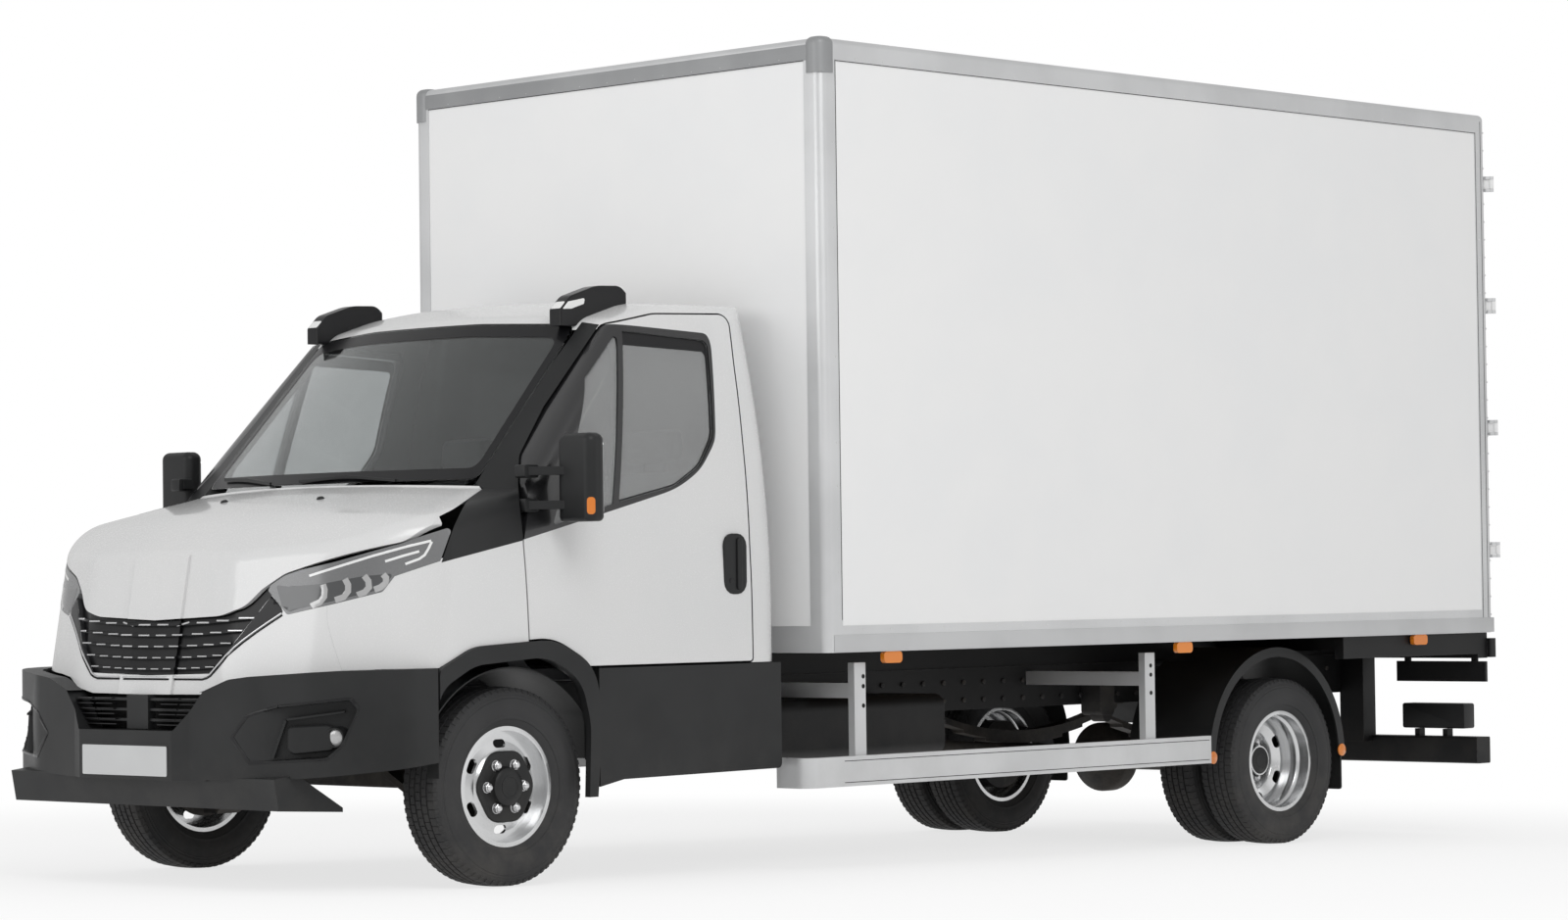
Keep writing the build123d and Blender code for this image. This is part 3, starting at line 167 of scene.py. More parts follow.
# columns: colour, second colour, roughness, metallic, coat, grain scale, grain height (mm), dust, dust top, wear
finishes = {
    # the cab's white is set darker than the box's white: painted shade on the cab
    "whitePaint": ((0.70, 0.70, 0.698), (0.685, 0.688, 0.688), 0.26, 0.0, 0.55, 260, 0.010, 0.10, 0.8, 0.0),
    "whitePanel": ((0.87, 0.87, 0.868), (0.855, 0.858, 0.86), 0.42, 0.0, 0.15, 420, 0.02, 0.06, 1.3, 0.0),
    "profileAluminium": ((0.67, 0.675, 0.68), (0.60, 0.605, 0.61), 0.42, 0.55, 0.0, 300, 0.02, 0.10, 0.8, 0.0),
    "greyMetal": ((0.34, 0.345, 0.35), (0.29, 0.295, 0.30), 0.46, 0.25, 0.0, 500, 0.03, 0.15, 0.7, 0.15),
    "blackMoulding": ((0.020, 0.0205, 0.021), (0.013, 0.0135, 0.014), 0.42, 0.0, 0.0, 1400, 0.06, 0.05, 0.7, 0.0),
    "blackGloss": ((0.009, 0.009, 0.010), (0.006, 0.006, 0.007), 0.30, 0.0, 0.04, 500, 0.008, 0.03, 0.8, 0.0),
    "chassisPaint": ((0.010, 0.010, 0.0105), (0.006, 0.006, 0.0065), 0.50, 0.0, 0.0, 600, 0.08, 0.06, 0.8, 0.15),
    "cabLining": ((0.045, 0.046, 0.049), (0.035, 0.036, 0.038), 0.75, 0.0, 0.0, 900, 0.08, 0.0, 0.8, 0.0),
    "amberLens": ((0.80, 0.24, 0.015), (0.70, 0.19, 0.01), 0.22, 0.0, 0.6, 200, 0.02, 0.05, 0.7, 0.0),
    "redLens": ((0.52, 0.015, 0.012), (0.44, 0.01, 0.01), 0.22, 0.0, 0.6, 200, 0.02, 0.05, 0.7, 0.0),
    "plateFace": ((0.60, 0.61, 0.61), (0.56, 0.565, 0.57), 0.38, 0.0, 0.1, 700, 0.02, 0.05, 0.6, 0.0),
    "castMetal": ((0.030, 0.030, 0.031), (0.045, 0.040, 0.036), 0.62, 0.3, 0.0, 250, 0.25, 0.30, 0.9, 0.2),
    "floorWood": ((0.16, 0.11, 0.07), (0.10, 0.07, 0.045), 0.6, 0.0, 0.0, 90, 0.1, 0.1, 1.2, 0.0),
    "tyreRubber": ((0.046, 0.046, 0.047), (0.036, 0.036, 0.037), 0.72, 0.0, 0.0, 700, 0.10, 0.10, 0.6, 0.0),
    "rimPaint": ((0.70, 0.705, 0.71), (0.62, 0.625, 0.63), 0.24, 0.92, 0.3, 300, 0.02, 0.14, 0.5, 0.0),
    "brightMetal": ((0.82, 0.82, 0.82), (0.74, 0.74, 0.75), 0.16, 1.0, 0.0, 300, 0.01, 0.05, 0.5, 0.0),
    # satin silver, also the painted highlight under the grille
    "satinSilver": ((0.72, 0.72, 0.72), (0.66, 0.66, 0.67), 0.30, 0.8, 0.2, 300, 0.01, 0.02, 0.5, 0.0),
    "lampBody": ((0.20, 0.202, 0.205), (0.17, 0.172, 0.175), 0.26, 0.2, 0.4, 500, 0.01, 0.02, 0.6, 0.0),
    "lampLight": ((0.86, 0.86, 0.85), (0.80, 0.80, 0.80), 0.18, 0.0, 0.8, 500, 0.01, 0.0, 0.6, 0.0),
    "lampField": ((0.085, 0.087, 0.089), (0.060, 0.062, 0.064), 0.20, 0.2, 0.9, 500, 0.01, 0.02, 0.6, 0.0),
    "lampBowl": ((0.50, 0.50, 0.50), (0.44, 0.44, 0.44), 0.20, 0.3, 0.8, 500, 0.01, 0.0, 0.6, 0.0),
    "railPaint": ((0.56, 0.565, 0.57), (0.50, 0.505, 0.51), 0.46, 0.3, 0.0, 420, 0.02, 0.12, 1.0, 0.0),
    # black seams and bolts, also the painted shadow under the grille and the painted shade in the guards' grooves
    "doorSeal": ((0.012, 0.012, 0.012), (0.009, 0.009, 0.009), 0.7, 0.0, 0.0, 600, 0.05, 0.06, 1.0, 0.0),
}
grainStretch = {"profileAluminium": (8, 0.2, 0.2), "floorWood": (1, 0.1, 4)}
paintSettings = {
    "coatRoughness": 0.06, "dark": 0.05, "darkSpecular": 0.30, "specular": 0.5, "variation": (0.35, 0.65),
    "grainEdges": (0.3, 0.7), "roughSpread": 0.08, "wearWidth": 0.004, "wornColour": (0.35, 0.35, 0.36, 1),
}


def newMaterial(name, source=None):
    material = source.copy() if source else bpy.data.materials.new(name)
    material.name, material.use_nodes = name, True
    return material, material.node_tree, material.node_tree.nodes["Principled BSDF"].inputs


def makeFinish(name, row):
    colour, second, rough, metallic, coat, grainScale, grainHeight, dust, dustTop, wear = row
    settings = paintSettings
    material, tree, sockets = newMaterial(name)
    sockets["Metallic"].default_value = metallic
    sockets["Coat Weight"].default_value = coat
    sockets["Coat Roughness"].default_value = settings["coatRoughness"]
    specular = settings["darkSpecular" if max(colour) < settings["dark"] else "specular"]
    sockets["Specular IOR Level"].default_value = specular
    grain = addNode(tree, "ShaderNodeGroup", {"node_tree": grainGroup}, Scale=float(grainScale),
                    Stretch=grainStretch.get(name, (1, 1, 1))).outputs
    variation = rampBetween(tree, grain["Variation"], *settings["variation"])
    base = mixColour(tree, variation, (*colour, 1), (*second, 1))
    if wear:
        worn = addNode(tree, "ShaderNodeGroup", {"node_tree": wearGroup}, Width=settings["wearWidth"], Strength=wear)
        base = mixColour(tree, worn.outputs["Mask"], base, settings["wornColour"])
    roughness = rampBetween(tree, grain["Height"], *settings["grainEdges"], rough * (1 - settings["roughSpread"]),
                            min(rough * (1 + settings["roughSpread"]), 1.0))
    dusty = addNode(tree, "ShaderNodeGroup", {"node_tree": dustGroup},
                    Colour=base, Roughness=roughness, Amount=dust, Top=dustTop).outputs
    bump = addNode(tree, "ShaderNodeBump", Height=grain["Height"], Strength=1.0, Distance=grainHeight * 0.001)
    feed(tree, sockets, {"Base Color": dusty["Colour"], "Roughness": dusty["Roughness"], "Normal": bump.outputs[0]})
    return material


finish = {name: makeFinish(name, row) for name, row in finishes.items()}

liningSettings = {"centre": (0, 620, 1300), "colour": (0.045, 0.046, 0.049, 1), "roughen": 0.45}


def cabPaintWithLining():
    # outside white paint, darkened as painted shade, inside dark trim
    material, tree, sockets = newMaterial("cabPaint", finish["whitePaint"])
    inner = addNode(tree, "ShaderNodeGroup", {"node_tree": innerGroup}, Centre=toRow @ Vector(liningSettings["centre"]))
    mask = inner.outputs["Mask"]
    painted, rough = (sockets[label].links[0].from_socket for label in ("Base Color", "Roughness"))
    rough = mathNode(tree, "MULTIPLY_ADD", mask, liningSettings["roughen"], rough, clamp=True)
    feed(tree, sockets, {"Base Color": mixColour(tree, mask, painted, liningSettings["colour"]), "Roughness": rough})
    return material


fieldSettings = {
    "blend": 0.03, "edge": 0.0006, "colour": (0.014, 0.014, 0.015, 1), "roughness": 0.26,
    # columns: point on a border line of the window field, direction along it with the field on its left; back and up
    "lines": [((24, 1209), (311, 71)), ((335, 1280), (449, 110)), ((784, 1390), (135, 74)), ((919, 1463), (93, 109)),
              ((1013, 1572), (57, 370)), ((1070, 1942), (-10, 20)), ((1060, 1972), (-450, 20))],
}


def doorPaint():
    # cab paint, with the dark field round the door's windows above the belt line
    material, tree, sockets = newMaterial("doorPaint", finish["cabPaint"])
    where, inside = objectPlace(tree), None
    for (back, up), (alongBack, alongUp) in fieldSettings["lines"]:
        normal = Vector((0, -alongUp, alongBack)).normalized()
        away = vectorNode(tree, "SUBTRACT", where, toRow @ Vector((0, back, up)))
        depth = vectorNode(tree, "DOT_PRODUCT", away, (toRow.to_3x3() @ normal).normalized())
        inside = depth if inside is None else mathNode(tree, "SMOOTH_MIN", inside, depth, fieldSettings["blend"])
    mask = rampBetween(tree, inside, -fieldSettings["edge"], fieldSettings["edge"])
    painted, rough = (sockets[label].links[0].from_socket for label in ("Base Color", "Roughness"))
    rough = addNode(tree, "ShaderNodeMix", i0=mask, i2=rough, i3=fieldSettings["roughness"])
    feed(tree, sockets, {"Base Color": mixColour(tree, mask, painted, fieldSettings["colour"]),
                         "Roughness": rough.outputs[0]})
    return material


clothSettings = {
    "sheen": 0.3, "threads": 420.0, "cloud": (9.0, 4.0), "cloudShare": 0.3, "thread": (0.085, 0.087, 0.092, 1),
    "gap": (0.040, 0.041, 0.044, 1), "worn": (0.02, 0.02, 0.022, 1), "roughness": (0.92, 0.8), "relief": (0.6, 0.0006),
}


def seatCloth():
    settings = clothSettings
    material, tree, sockets = newMaterial("seatCloth")
    sockets["Sheen Weight"].default_value = settings["sheen"]
    where = objectPlace(tree)
    waves = [addNode(tree, "ShaderNodeTexWave", {"bands_direction": way}, Vector=where, Scale=settings["threads"])
             for way in ("X", "Z")]
    weave = mathNode(tree, "MULTIPLY", waves[0].outputs[1], waves[1].outputs[1])
    cloud = mathNode(tree, "MULTIPLY", noiseNode(tree, where, *settings["cloud"]), settings["cloudShare"])
    base = mixColour(tree, cloud, mixColour(tree, weave, settings["gap"], settings["thread"]), settings["worn"])
    strength, distance = settings["relief"]
    bump = addNode(tree, "ShaderNodeBump", Height=weave, Strength=strength, Distance=distance)
    rough = rampBetween(tree, weave, 0.0, 1.0, *settings["roughness"])
    feed(tree, sockets, {"Base Color": base, "Roughness": rough, "Normal": bump.outputs[0]})
    return material


glassSettings = {
    "ior": 1.5, "film": (3.0, 5.0, 0.6), "filmShade": 0.94, "filmRough": 0.015, "shadeEdges": (0.3, 0.7),
    "roughEdges": (0.3, 0.8),
}


def tintedGlass(name, tint, transmission=1.0):
    material, tree, sockets = newMaterial(name)
    sockets["Transmission Weight"].default_value = transmission
    sockets["IOR"].default_value = glassSettings["ior"]
    film = noiseNode(tree, objectPlace(tree), *glassSettings["film"])
    shaded = (*[c * glassSettings["filmShade"] for c in tint], 1)
    feed(tree, sockets, {
        "Base Color": mixColour(tree, rampBetween(tree, film, *glassSettings["shadeEdges"]), (*tint, 1), shaded),
        "Roughness": rampBetween(tree, film, *glassSettings["roughEdges"], 0.0, glassSettings["filmRough"]),
    })
    return material


finish["cabPaint"] = cabPaintWithLining()
finish["doorPaint"] = doorPaint()
finish["seatCloth"] = seatCloth()
finish["windowGlass"] = tintedGlass("windowGlass", (0.66, 0.70, 0.70))
# the door glass lets only part of the light through; the rest shows its pale tint as a painted reflection that lightens
# the glass
finish["doorWindow"] = tintedGlass("doorWindow", (0.70, 0.71, 0.71), transmission=0.74)

# the nodes of each finish; what isn't named here has the chassis paint
nodeFinish = {}
for name, words in {
    "cabPaint": "bonnet nose_panel cab_shell front_wings", "doorPaint": "door_panel_left door_panel_right",
    "windowGlass": "windscreen", "doorWindow": "door_glass_left door_glass_right", "seatCloth": "seats",
    "blackGloss": "grille roof_lamps", "cabLining": "cab_floor dashboard", "floorWood": "box_floor",
    "blackMoulding": "front_bumper wipers pillar_panels lower_cladding rear_mudguards mirror_left mirror_right",
    "castMetal": "engine rear_axle leaf_springs front_suspension knuckle_left knuckle_right",
    "whitePanel": "box_front_wall box_sides box_roof rear_door_left rear_door_right",
    "profileAluminium": "box_profiles rear_hinges side_guards", "greyMetal": "corner_caps",
    "plateFace": "number_plate", "redLens": "tail_lamps", "amberLens": "side_markers", "lampBody": "headlamps",
    "tyreRubber": "front_tyre_left front_tyre_right rear_tyres_left rear_tyres_right",
    "rimPaint": "front_rim_left front_rim_right rear_rims_left rear_rims_right",
}.items():
    nodeFinish.update((word, name) for word in words.split())
print("materials ready:", len(bpy.data.materials))

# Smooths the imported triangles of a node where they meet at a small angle
smoothSettings = {"angle": 0.55, "weld": 0.00002}
smoothTree, given, result = newGroup("smoothSkin", {"Geometry": "NodeSocketGeometry", "Angle": 0.6},
                                     {"Geometry": "NodeSocketGeometry"}, "GeometryNodeTree")
merged = addNode(smoothTree, "GeometryNodeMergeByDistance", Geometry=given[0], Distance=smoothSettings["weld"])
bend = addNode(smoothTree, "GeometryNodeInputMeshEdgeAngle").outputs[0]
flat = addNode(smoothTree, "FunctionNodeCompare", {"data_type": "FLOAT", "operation": "LESS_THAN"},
               i0=bend, i1=given["Angle"])
faceSmooth = addNode(smoothTree, "GeometryNodeSetShadeSmooth", {"domain": "FACE"}, Geometry=merged.outputs[0])
edgeSmooth = addNode(smoothTree, "GeometryNodeSetShadeSmooth", {"domain": "EDGE"}, Geometry=faceSmooth.outputs[0])
smoothTree.links.new(flat.outputs[0], edgeSmooth.inputs["Shade Smooth"])
smoothTree.links.new(edgeSmooth.outputs[0], result[0])

# Sets one small piece at every point of a field; the field carries its turn and its size
repeatTree, given, result = newGroup(
    "repeatPiece",
    {"Geometry": "NodeSocketGeometry", "Piece": "NodeSocketObject", "Size": 1.0, "Finish": "NodeSocketMaterial"},
    {"Geometry": "NodeSocketGeometry"}, "GeometryNodeTree",
)
source = addNode(repeatTree, "GeometryNodeObjectInfo", {"transform_space": "ORIGINAL"}, Object=given["Piece"])
turn = addNode(repeatTree, "GeometryNodeInputNamedAttribute", {"data_type": "FLOAT_VECTOR"}, Name="turn")
facing = addNode(repeatTree, "FunctionNodeEulerToRotation", i0=turn.outputs[0])
own = addNode(repeatTree, "GeometryNodeInputNamedAttribute", {"data_type": "FLOAT"}, Name="own")
spread = addNode(repeatTree, "GeometryNodeInstanceOnPoints", Points=given[0], Instance=source.outputs["Geometry"],
                 Rotation=facing.outputs[0], Scale=mathNode(repeatTree, "MULTIPLY", own.outputs[0], given["Size"]))
real = addNode(repeatTree, "GeometryNodeRealizeInstances", Geometry=spread.outputs[0])
dressed = addNode(repeatTree, "GeometryNodeSetMaterial", Geometry=real.outputs[0], Material=given["Finish"])
repeatTree.links.new(dressed.outputs[0], result[0])


def socketOf(tree, label):
    return next(item.identifier for item in tree.interface.items_tree if item.name == label and item.in_out == "INPUT")


for name, node in nodes.items():
    node.data.materials.clear()
    node.data.materials.append(finish[nodeFinish.get(name, "chassisPaint")])
    smoothing = node.modifiers.new("smoothSkin", "NODES")
    smoothing.node_group = smoothTree
    smoothing[socketOf(smoothTree, "Angle")] = smoothSettings["angle"]
print("nodes dressed:", len(nodes))


# Mesh helpers, all in the chassis frame in millimetres

def newObject(name, data):
    thing = bpy.data.objects.new(name, data)
    bpy.context.scene.collection.objects.link(thing)
    return thing


pieceSettings = {
    "weld": 0.01, "gridWeld": 0.02, "sharp": math.radians(32), "bevelled": 0.6, "bevelProfile": 0.6,
    # a rounded corner takes at most this share of the sides beside it
    "cornerShare": 0.49, "nothing": 1e-6,
}


def finishPiece(name, mesh, material, body, recalc=True):
    if recalc:
        work = bmesh.new()
        work.from_mesh(mesh)
        bmesh.ops.remove_doubles(work, verts=work.verts, dist=pieceSettings["weld"])
        bmesh.ops.recalc_face_normals(work, faces=work.faces)
        work.to_mesh(mesh)
        work.free()
    mesh.transform(toRow)
    mesh.materials.clear()
    mesh.materials.append(finish[material])
    mesh.name = name
    piece = newObject(name, mesh)
    mesh.polygons.foreach_set("use_smooth", [True] * len(mesh.polygons))
    mesh.set_sharp_from_angle(angle=pieceSettings["sharp"])
    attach(piece, body)
    return piece


def meshOf(name, vertices, faces):
    mesh = bpy.data.meshes.new(name)
    mesh.from_pydata([tuple(v) for v in vertices], [], faces)
    mesh.update()
    return mesh


def partOf(work):
    # the vertices and faces of a bmesh, which is then freed
    work.verts.index_update()
    part = [v.co.copy() for v in work.verts], [tuple(v.index for v in f.verts) for f in work.faces]
    work.free()
    return part


def joinLists(parts):
    vertices, faces = [], []
    for moreVertices, moreFaces in parts:
        start = len(vertices)
        vertices += list(moreVertices)
        faces += [tuple(i + start for i in face) for face in moreFaces]
    return vertices, faces


def mirrored(part):
    vertices, faces = part
    return [(-x, y, z) for x, y, z in vertices], [tuple(reversed(face)) for face in faces]


def roundedOutline(rows, steps=6):
    # corner points with their radii become a smooth closed outline
    outline = []
    for i, (a, b, radius) in enumerate(rows):
        here = Vector((a, b))
        toBefore, toAfter = Vector(rows[i - 1][:2]) - here, Vector(rows[(i + 1) % len(rows)][:2]) - here
        shorter = min(toBefore.length, toAfter.length)
        if radius <= 0 or shorter < pieceSettings["nothing"]:
            outline.append(here)
            continue
        toBeforeUnit, toAfterUnit = toBefore.normalized(), toAfter.normalized()
        half = toBeforeUnit.angle(toAfterUnit) / 2
        reach = min(radius / math.tan(half), shorter * pieceSettings["cornerShare"])
        radius = reach * math.tan(half)
        centre = here + (toBeforeUnit + toAfterUnit).normalized() * (radius / math.sin(half))
        first, last = here + toBeforeUnit * reach - centre, here + toAfterUnit * reach - centre
        sweep = first.angle_signed(last)
        outline += [centre + Matrix.Rotation(-sweep * k / steps, 2) @ first for k in range(steps + 1)]
    return outline


# across, up and outward directions of the ways a piece is looked at
lookAlong = {
    "side": (Vector((0, 1, 0)), Vector((0, 0, 1)), Vector((1, 0, 0))),
    "front": (Vector((1, 0, 0)), Vector((0, 0, 1)), Vector((0, -1, 0))),
    "rear": (Vector((1, 0, 0)), Vector((0, 0, 1)), Vector((0, 1, 0))),
    "top": (Vector((1, 0, 0)), Vector((0, 1, 0)), Vector((0, 0, 1))),
    "corner": (Vector((1, 1, 0)).normalized(), Vector((0, 0, 1)), Vector((1, -1, 0)).normalized()),
}
treeOf = {}


def skinTree(*names):
    if names not in treeOf:
        parts = [([toChassis @ v.co for v in nodes[name].data.vertices],
                  [polygon.vertices for polygon in nodes[name].data.polygons]) for name in names]
        treeOf[names] = BVHTree.FromPolygons(*joinLists(parts))
    return treeOf[names]


castSettings = {"far": 2500.0, "facing": 0.04, "tries": 14, "drift": 0.06}


def castOnto(tree, view, a, b, middle=None):
    # the place on the skin seen at (a, b), moved a little towards the middle where the ray passes by
    across, up, out = lookAlong[view]
    for attempt in range(castSettings["tries"] if middle else 1):
        place, normal, index, distance = tree.ray_cast(across * a + up * b + out * castSettings["far"], -out)
        if place is not None and normal.dot(out) > castSettings["facing"]:
            return place, normal
        if middle:
            a += (middle[0] - a) * castSettings["drift"]
            b += (middle[1] - b) * castSettings["drift"]
    return None, None


def cutEvenly(work, axis, low, high, cuts):
    # cuts a bmesh across an axis into equal slices
    for cut in range(1, cuts):
        place, normal = Vector((0, 0, 0)), Vector((0, 0, 0))
        place[axis], normal[axis] = low + cut * (high - low) / cuts, 1
        everything = work.verts[:] + work.edges[:] + work.faces[:]
        bmesh.ops.bisect_plane(work, geom=everything, plane_co=place, plane_no=normal)


def flatFill(outlines, step):
    # fills an outline with holes and cuts it along a grid, so that it can follow a curved skin
    loops = [[Vector((a, b, 0)) for a, b in outline] for outline in outlines]
    points = [p for loop in loops for p in loop]
    work = bmesh.new()
    made = [work.verts.new(p) for p in points]
    for triangle in tessellate_polygon(loops):
        if len(set(triangle)) == 3:
            try:
                work.faces.new([made[i] for i in triangle])
            except ValueError:
                pass
    for k in (0, 1):
        low, high = min(p[k] for p in points), max(p[k] for p in points)
        cutEvenly(work, k, low, high, int((high - low) / step) + 1)
    bmesh.ops.remove_doubles(work, verts=work.verts, dist=pieceSettings["gridWeld"])
    bmesh.ops.triangulate(work, faces=[f for f in work.faces if len(f.verts) > 4])
    bmesh.ops.delete(work, geom=[v for v in work.verts if not v.link_faces], context="VERTS")
    return work


# how far a vertex may lie from its neighbours' depths: a fixed part, and a share of their distance
drapeSettings = {"reach": 6.0, "slope": 1.3, "rounds": 2}


def drape(view, rows, onto, proud=1.0, depth=2.0, holes=(), step=30.0, soften=0.0):
    # a thin plate that lies on the skin of some nodes, seen along a view
    outlines = [[(p[0], p[1]) for p in roundedOutline(outline)] for outline in (rows, *holes)]
    work = flatFill(outlines, step)
    tree = skinTree(*onto)
    across, up, out = lookAlong[view]
    middle = [sum(p[k] for p in outlines[0]) / len(outlines[0]) for k in (0, 1)]
    work.verts.index_update()
    rim = {v.index for e in work.edges if len(e.link_faces) == 1 for v in e.verts}
    hits = {}
    for v in work.verts:
        place, normal = castOnto(tree, view, v.co.x, v.co.y, middle)
        if place is not None:
            hits[v.index] = (place, normal)
    # a ray that slips through a seam takes the depth of its neighbours
    for attempt in range(drapeSettings["rounds"]):
        for v in work.verts:
            others = [e.other_vert(v) for e in v.link_edges if e.other_vert(v).index in hits]
            if not others:
                continue
            depths = sorted(hits[o.index][0].dot(out) for o in others)
            reach = drapeSettings["reach"] + drapeSettings["slope"] * max((o.co - v.co).length for o in others)
            own = hits[v.index][0].dot(out) if v.index in hits else None
            if own is None or own < depths[0] - reach or own > depths[-1] + reach:
                place = across * v.co.x + up * v.co.y + out * depths[len(depths) // 2]
                hits[v.index] = (place, hits[others[0].index][1])
    top, base = [], []
    for v in work.verts:
        place, normal = hits.get(v.index, (Vector((0, 0, 0)), Vector((0, 0, 0))))
        top.append(place + normal * (proud - (soften if v.index in rim else 0.0)))
        base.append(place - normal * depth)
    count = len(top)
    faces = []
    for face in work.faces:
        ring = [v.index for v in face.verts]
        if not hits.keys() >= set(ring):
            continue
        if (top[ring[1]] - top[ring[0]]).cross(top[ring[2]] - top[ring[0]]).dot(out) < 0:
            ring.reverse()
        faces.append(tuple(ring))
    work.free()
    used = dict.fromkeys((i, ring[(k + 1) % len(ring)]) for ring in faces for k, i in enumerate(ring))
    walls = [(i, i + count, j + count, j) for (i, j) in used if (j, i) not in used]
    backs = [tuple(i + count for i in reversed(ring)) for ring in faces]
    return top + base, faces + walls + backs


def prismOf(view, rows, near, far, bevel=0.0, steps=4, segments=2):
    # a straight piece between two distances along a view, with its edges rounded
    across, up, out = lookAlong[view]
    outline = roundedOutline(rows, steps)
    work = bmesh.new()
    low, high = ([work.verts.new(across * p[0] + up * p[1] + out * level) for p in outline] for level in (near, far))
    count = len(outline)
    work.faces.new(low)
    work.faces.new(list(reversed(high)))
    for i in range(count):
        work.faces.new([low[i], high[i], high[(i + 1) % count], low[(i + 1) % count]])
    bmesh.ops.remove_doubles(work, verts=work.verts, dist=pieceSettings["weld"])
    bmesh.ops.recalc_face_normals(work, faces=work.faces)
    if bevel:
        sharp = [e for e in work.edges if len(e.link_faces) == 2 and e.calc_face_angle(0) > pieceSettings["bevelled"]]
        bmesh.ops.bevel(work, geom=sharp, offset=bevel, segments=segments, profile=pieceSettings["bevelProfile"],
                        affect="EDGES", clamp_overlap=True)
    return partOf(work)


def boxRows(a0, a1, b0, b1, radius=0.0):
    return [(a0, b0, radius), (a1, b0, radius), (a1, b1, radius), (a0, b1, radius)]


def turned(profile, centre, axis=(1, 0, 0), count=48, closed=False):
    # a turned form: rows of (along, radius) about an axis through the centre
    axis = Vector(axis).normalized()
    side = axis.orthogonal().normalized()
    other = axis.cross(side)
    vertices, faces, rows = [], [], len(profile)
    for along, radius in profile:
        for k in range(count):
            angle = 2 * math.pi * k / count
            vertices.append(Vector(centre) + axis * along + (side * math.cos(angle) + other * math.sin(angle)) * radius)
    for r in range(rows if closed else rows - 1):
        here, after = r * count, ((r + 1) % rows) * count
        faces += [(here + k, here + (k + 1) % count, after + (k + 1) % count, after + k) for k in range(count)]
    return vertices, faces


def standing(profile, count):
    # a small turned piece that stands on the origin, to be repeated
    return turned(profile, (0, 0, 0), (0, 0, 1), count)


def tubeAlong(points, radius, count=10):
    # a round bar along a line of points
    points = [Vector(p) for p in points]
    vertices, faces = [], []
    for i, p in enumerate(points):
        ahead = (points[min(i + 1, len(points) - 1)] - points[max(i - 1, 0)]).normalized()
        side = ahead.cross(Vector((0, 0, 1))).normalized()
        over = side.cross(ahead)
        for k in range(count):
            angle = 2 * math.pi * k / count
            vertices.append(p + side * math.cos(angle) * radius + over * math.sin(angle) * radius)
    for start in range(0, (len(points) - 1) * count, count):
        ring = [(start + k, start + (k + 1) % count) for k in range(count)]
        faces += [(a, b, b + count, a + count) for a, b in ring]
    last = (len(points) - 1) * count
    return vertices, faces + [tuple(range(count)), tuple(last + k for k in reversed(range(count)))]


def turnTo(out, along):
    # the turn that takes a small piece's Z to the outward direction and its X along a line
    out, along = Vector(out).normalized(), Vector(along)
    along = (along - out * along.dot(out)).normalized()
    return Matrix((along, out.cross(along), out)).transposed().to_euler()


def repeatPiece(name, part, places, material, body="truck", sizes=None):
    # places: rows of (position, outward direction, direction along)
    field = meshOf(name + "Field", [place for place, out, along in places], [])
    turns = field.attributes.new("turn", "FLOAT_VECTOR", "POINT")
    for i, (place, out, along) in enumerate(places):
        turns.data[i].vector = turnTo(out, along)
    own = field.attributes.new("own", "FLOAT", "POINT")
    for i, size in enumerate(sizes or [1.0] * len(places)):
        own.data[i].value = size
    source = bpy.data.objects.new(name + "Source", meshOf(name + "Source", *part))
    carrier = newObject(name + "Field", field)
    modifier = carrier.modifiers.new("repeatPiece", "NODES")
    modifier.node_group = repeatTree
    for label, value in (("Piece", source), ("Size", 1.0), ("Finish", finish[material])):
        modifier[socketOf(repeatTree, label)] = value
    bpy.context.view_layer.update()
    mesh = bpy.data.meshes.new_from_object(carrier.evaluated_get(bpy.context.evaluated_depsgraph_get()))
    carrier.modifiers.remove(modifier)
    bpy.data.objects.remove(carrier)
    bpy.data.objects.remove(source)
    return finishPiece(name, mesh, material, body, recalc=False)


def addPiece(name, parts, material, body="truck", bothSides=False):
    if isinstance(parts, tuple):
        parts = [parts]
    if bothSides:
        parts = parts + [mirrored(part) for part in parts]
    return finishPiece(name, meshOf(name, *joinLists(parts)), material, body)


def onDoors(name, parts, material):
    # the same piece on the left and on the right door
    for side in sides:
        own = parts if side == "left" else [mirrored(part) for part in parts]
        addPiece(name + side.capitalize(), own, material, "door_" + side)


# Tyres
tyreSettings = {
    "radius": 349.4, "crownDrop": 3.6, "pitches": 72, "grooveDepth": 7.5, "grooveWall": 1.0, "sipeDepth": 3.2,
    # columns: inner edge and outer edge of each rib across the tread, sipe row
    "ribs": [(-75.0, -48.0, 1), (-40.5, -19.0, 4), (-11.5, 11.5, 1), (19.0, 40.5, 4), (48.0, 75.0, 1)],
    "columns": (0.10, 0.16, 0.22, 0.60, 0.66, 0.72),
    # columns: across, radius; the carcass from the bead to the shoulder, and its inside
    "shoulder": [(80.0, 339.0), (78.0, 342.5)], "bandUnder": (70.0, 333.0),
    "carcass": [
        (60.0, 203.6), (68.0, 208.0), (73.0, 213.5), (79.0, 221.0), (83.5, 229.0), (86.5, 235.0), (90.2, 237.0),
        (91.6, 240.5), (91.0, 244.0), (92.2, 248.0), (94.6, 257.0), (96.6, 268.0), (97.3, 279.0), (96.2, 292.0),
        (94.0, 302.0), (93.6, 305.5), (94.4, 307.0), (93.4, 309.0), (91.6, 310.5), (90.6, 315.0), (91.2, 317.0),
        (89.8, 319.5), (88.2, 323.0), (86.4, 330.0), (84.0, 335.5), (81.0, 339.5), (77.0, 342.0), (60.0, 341.0),
    ],
    "inside": [(52.0, 203.6), (84.0, 262.0), (82.0, 300.0), (70.0, 327.0)],
    "lug": (17.0, 17.0, 3.4, 1.2), "lugPhase": 0.41, "lugOut": 81.2, "lugRadius": 338.0, "lugLean": (0.62, 0.78),
}


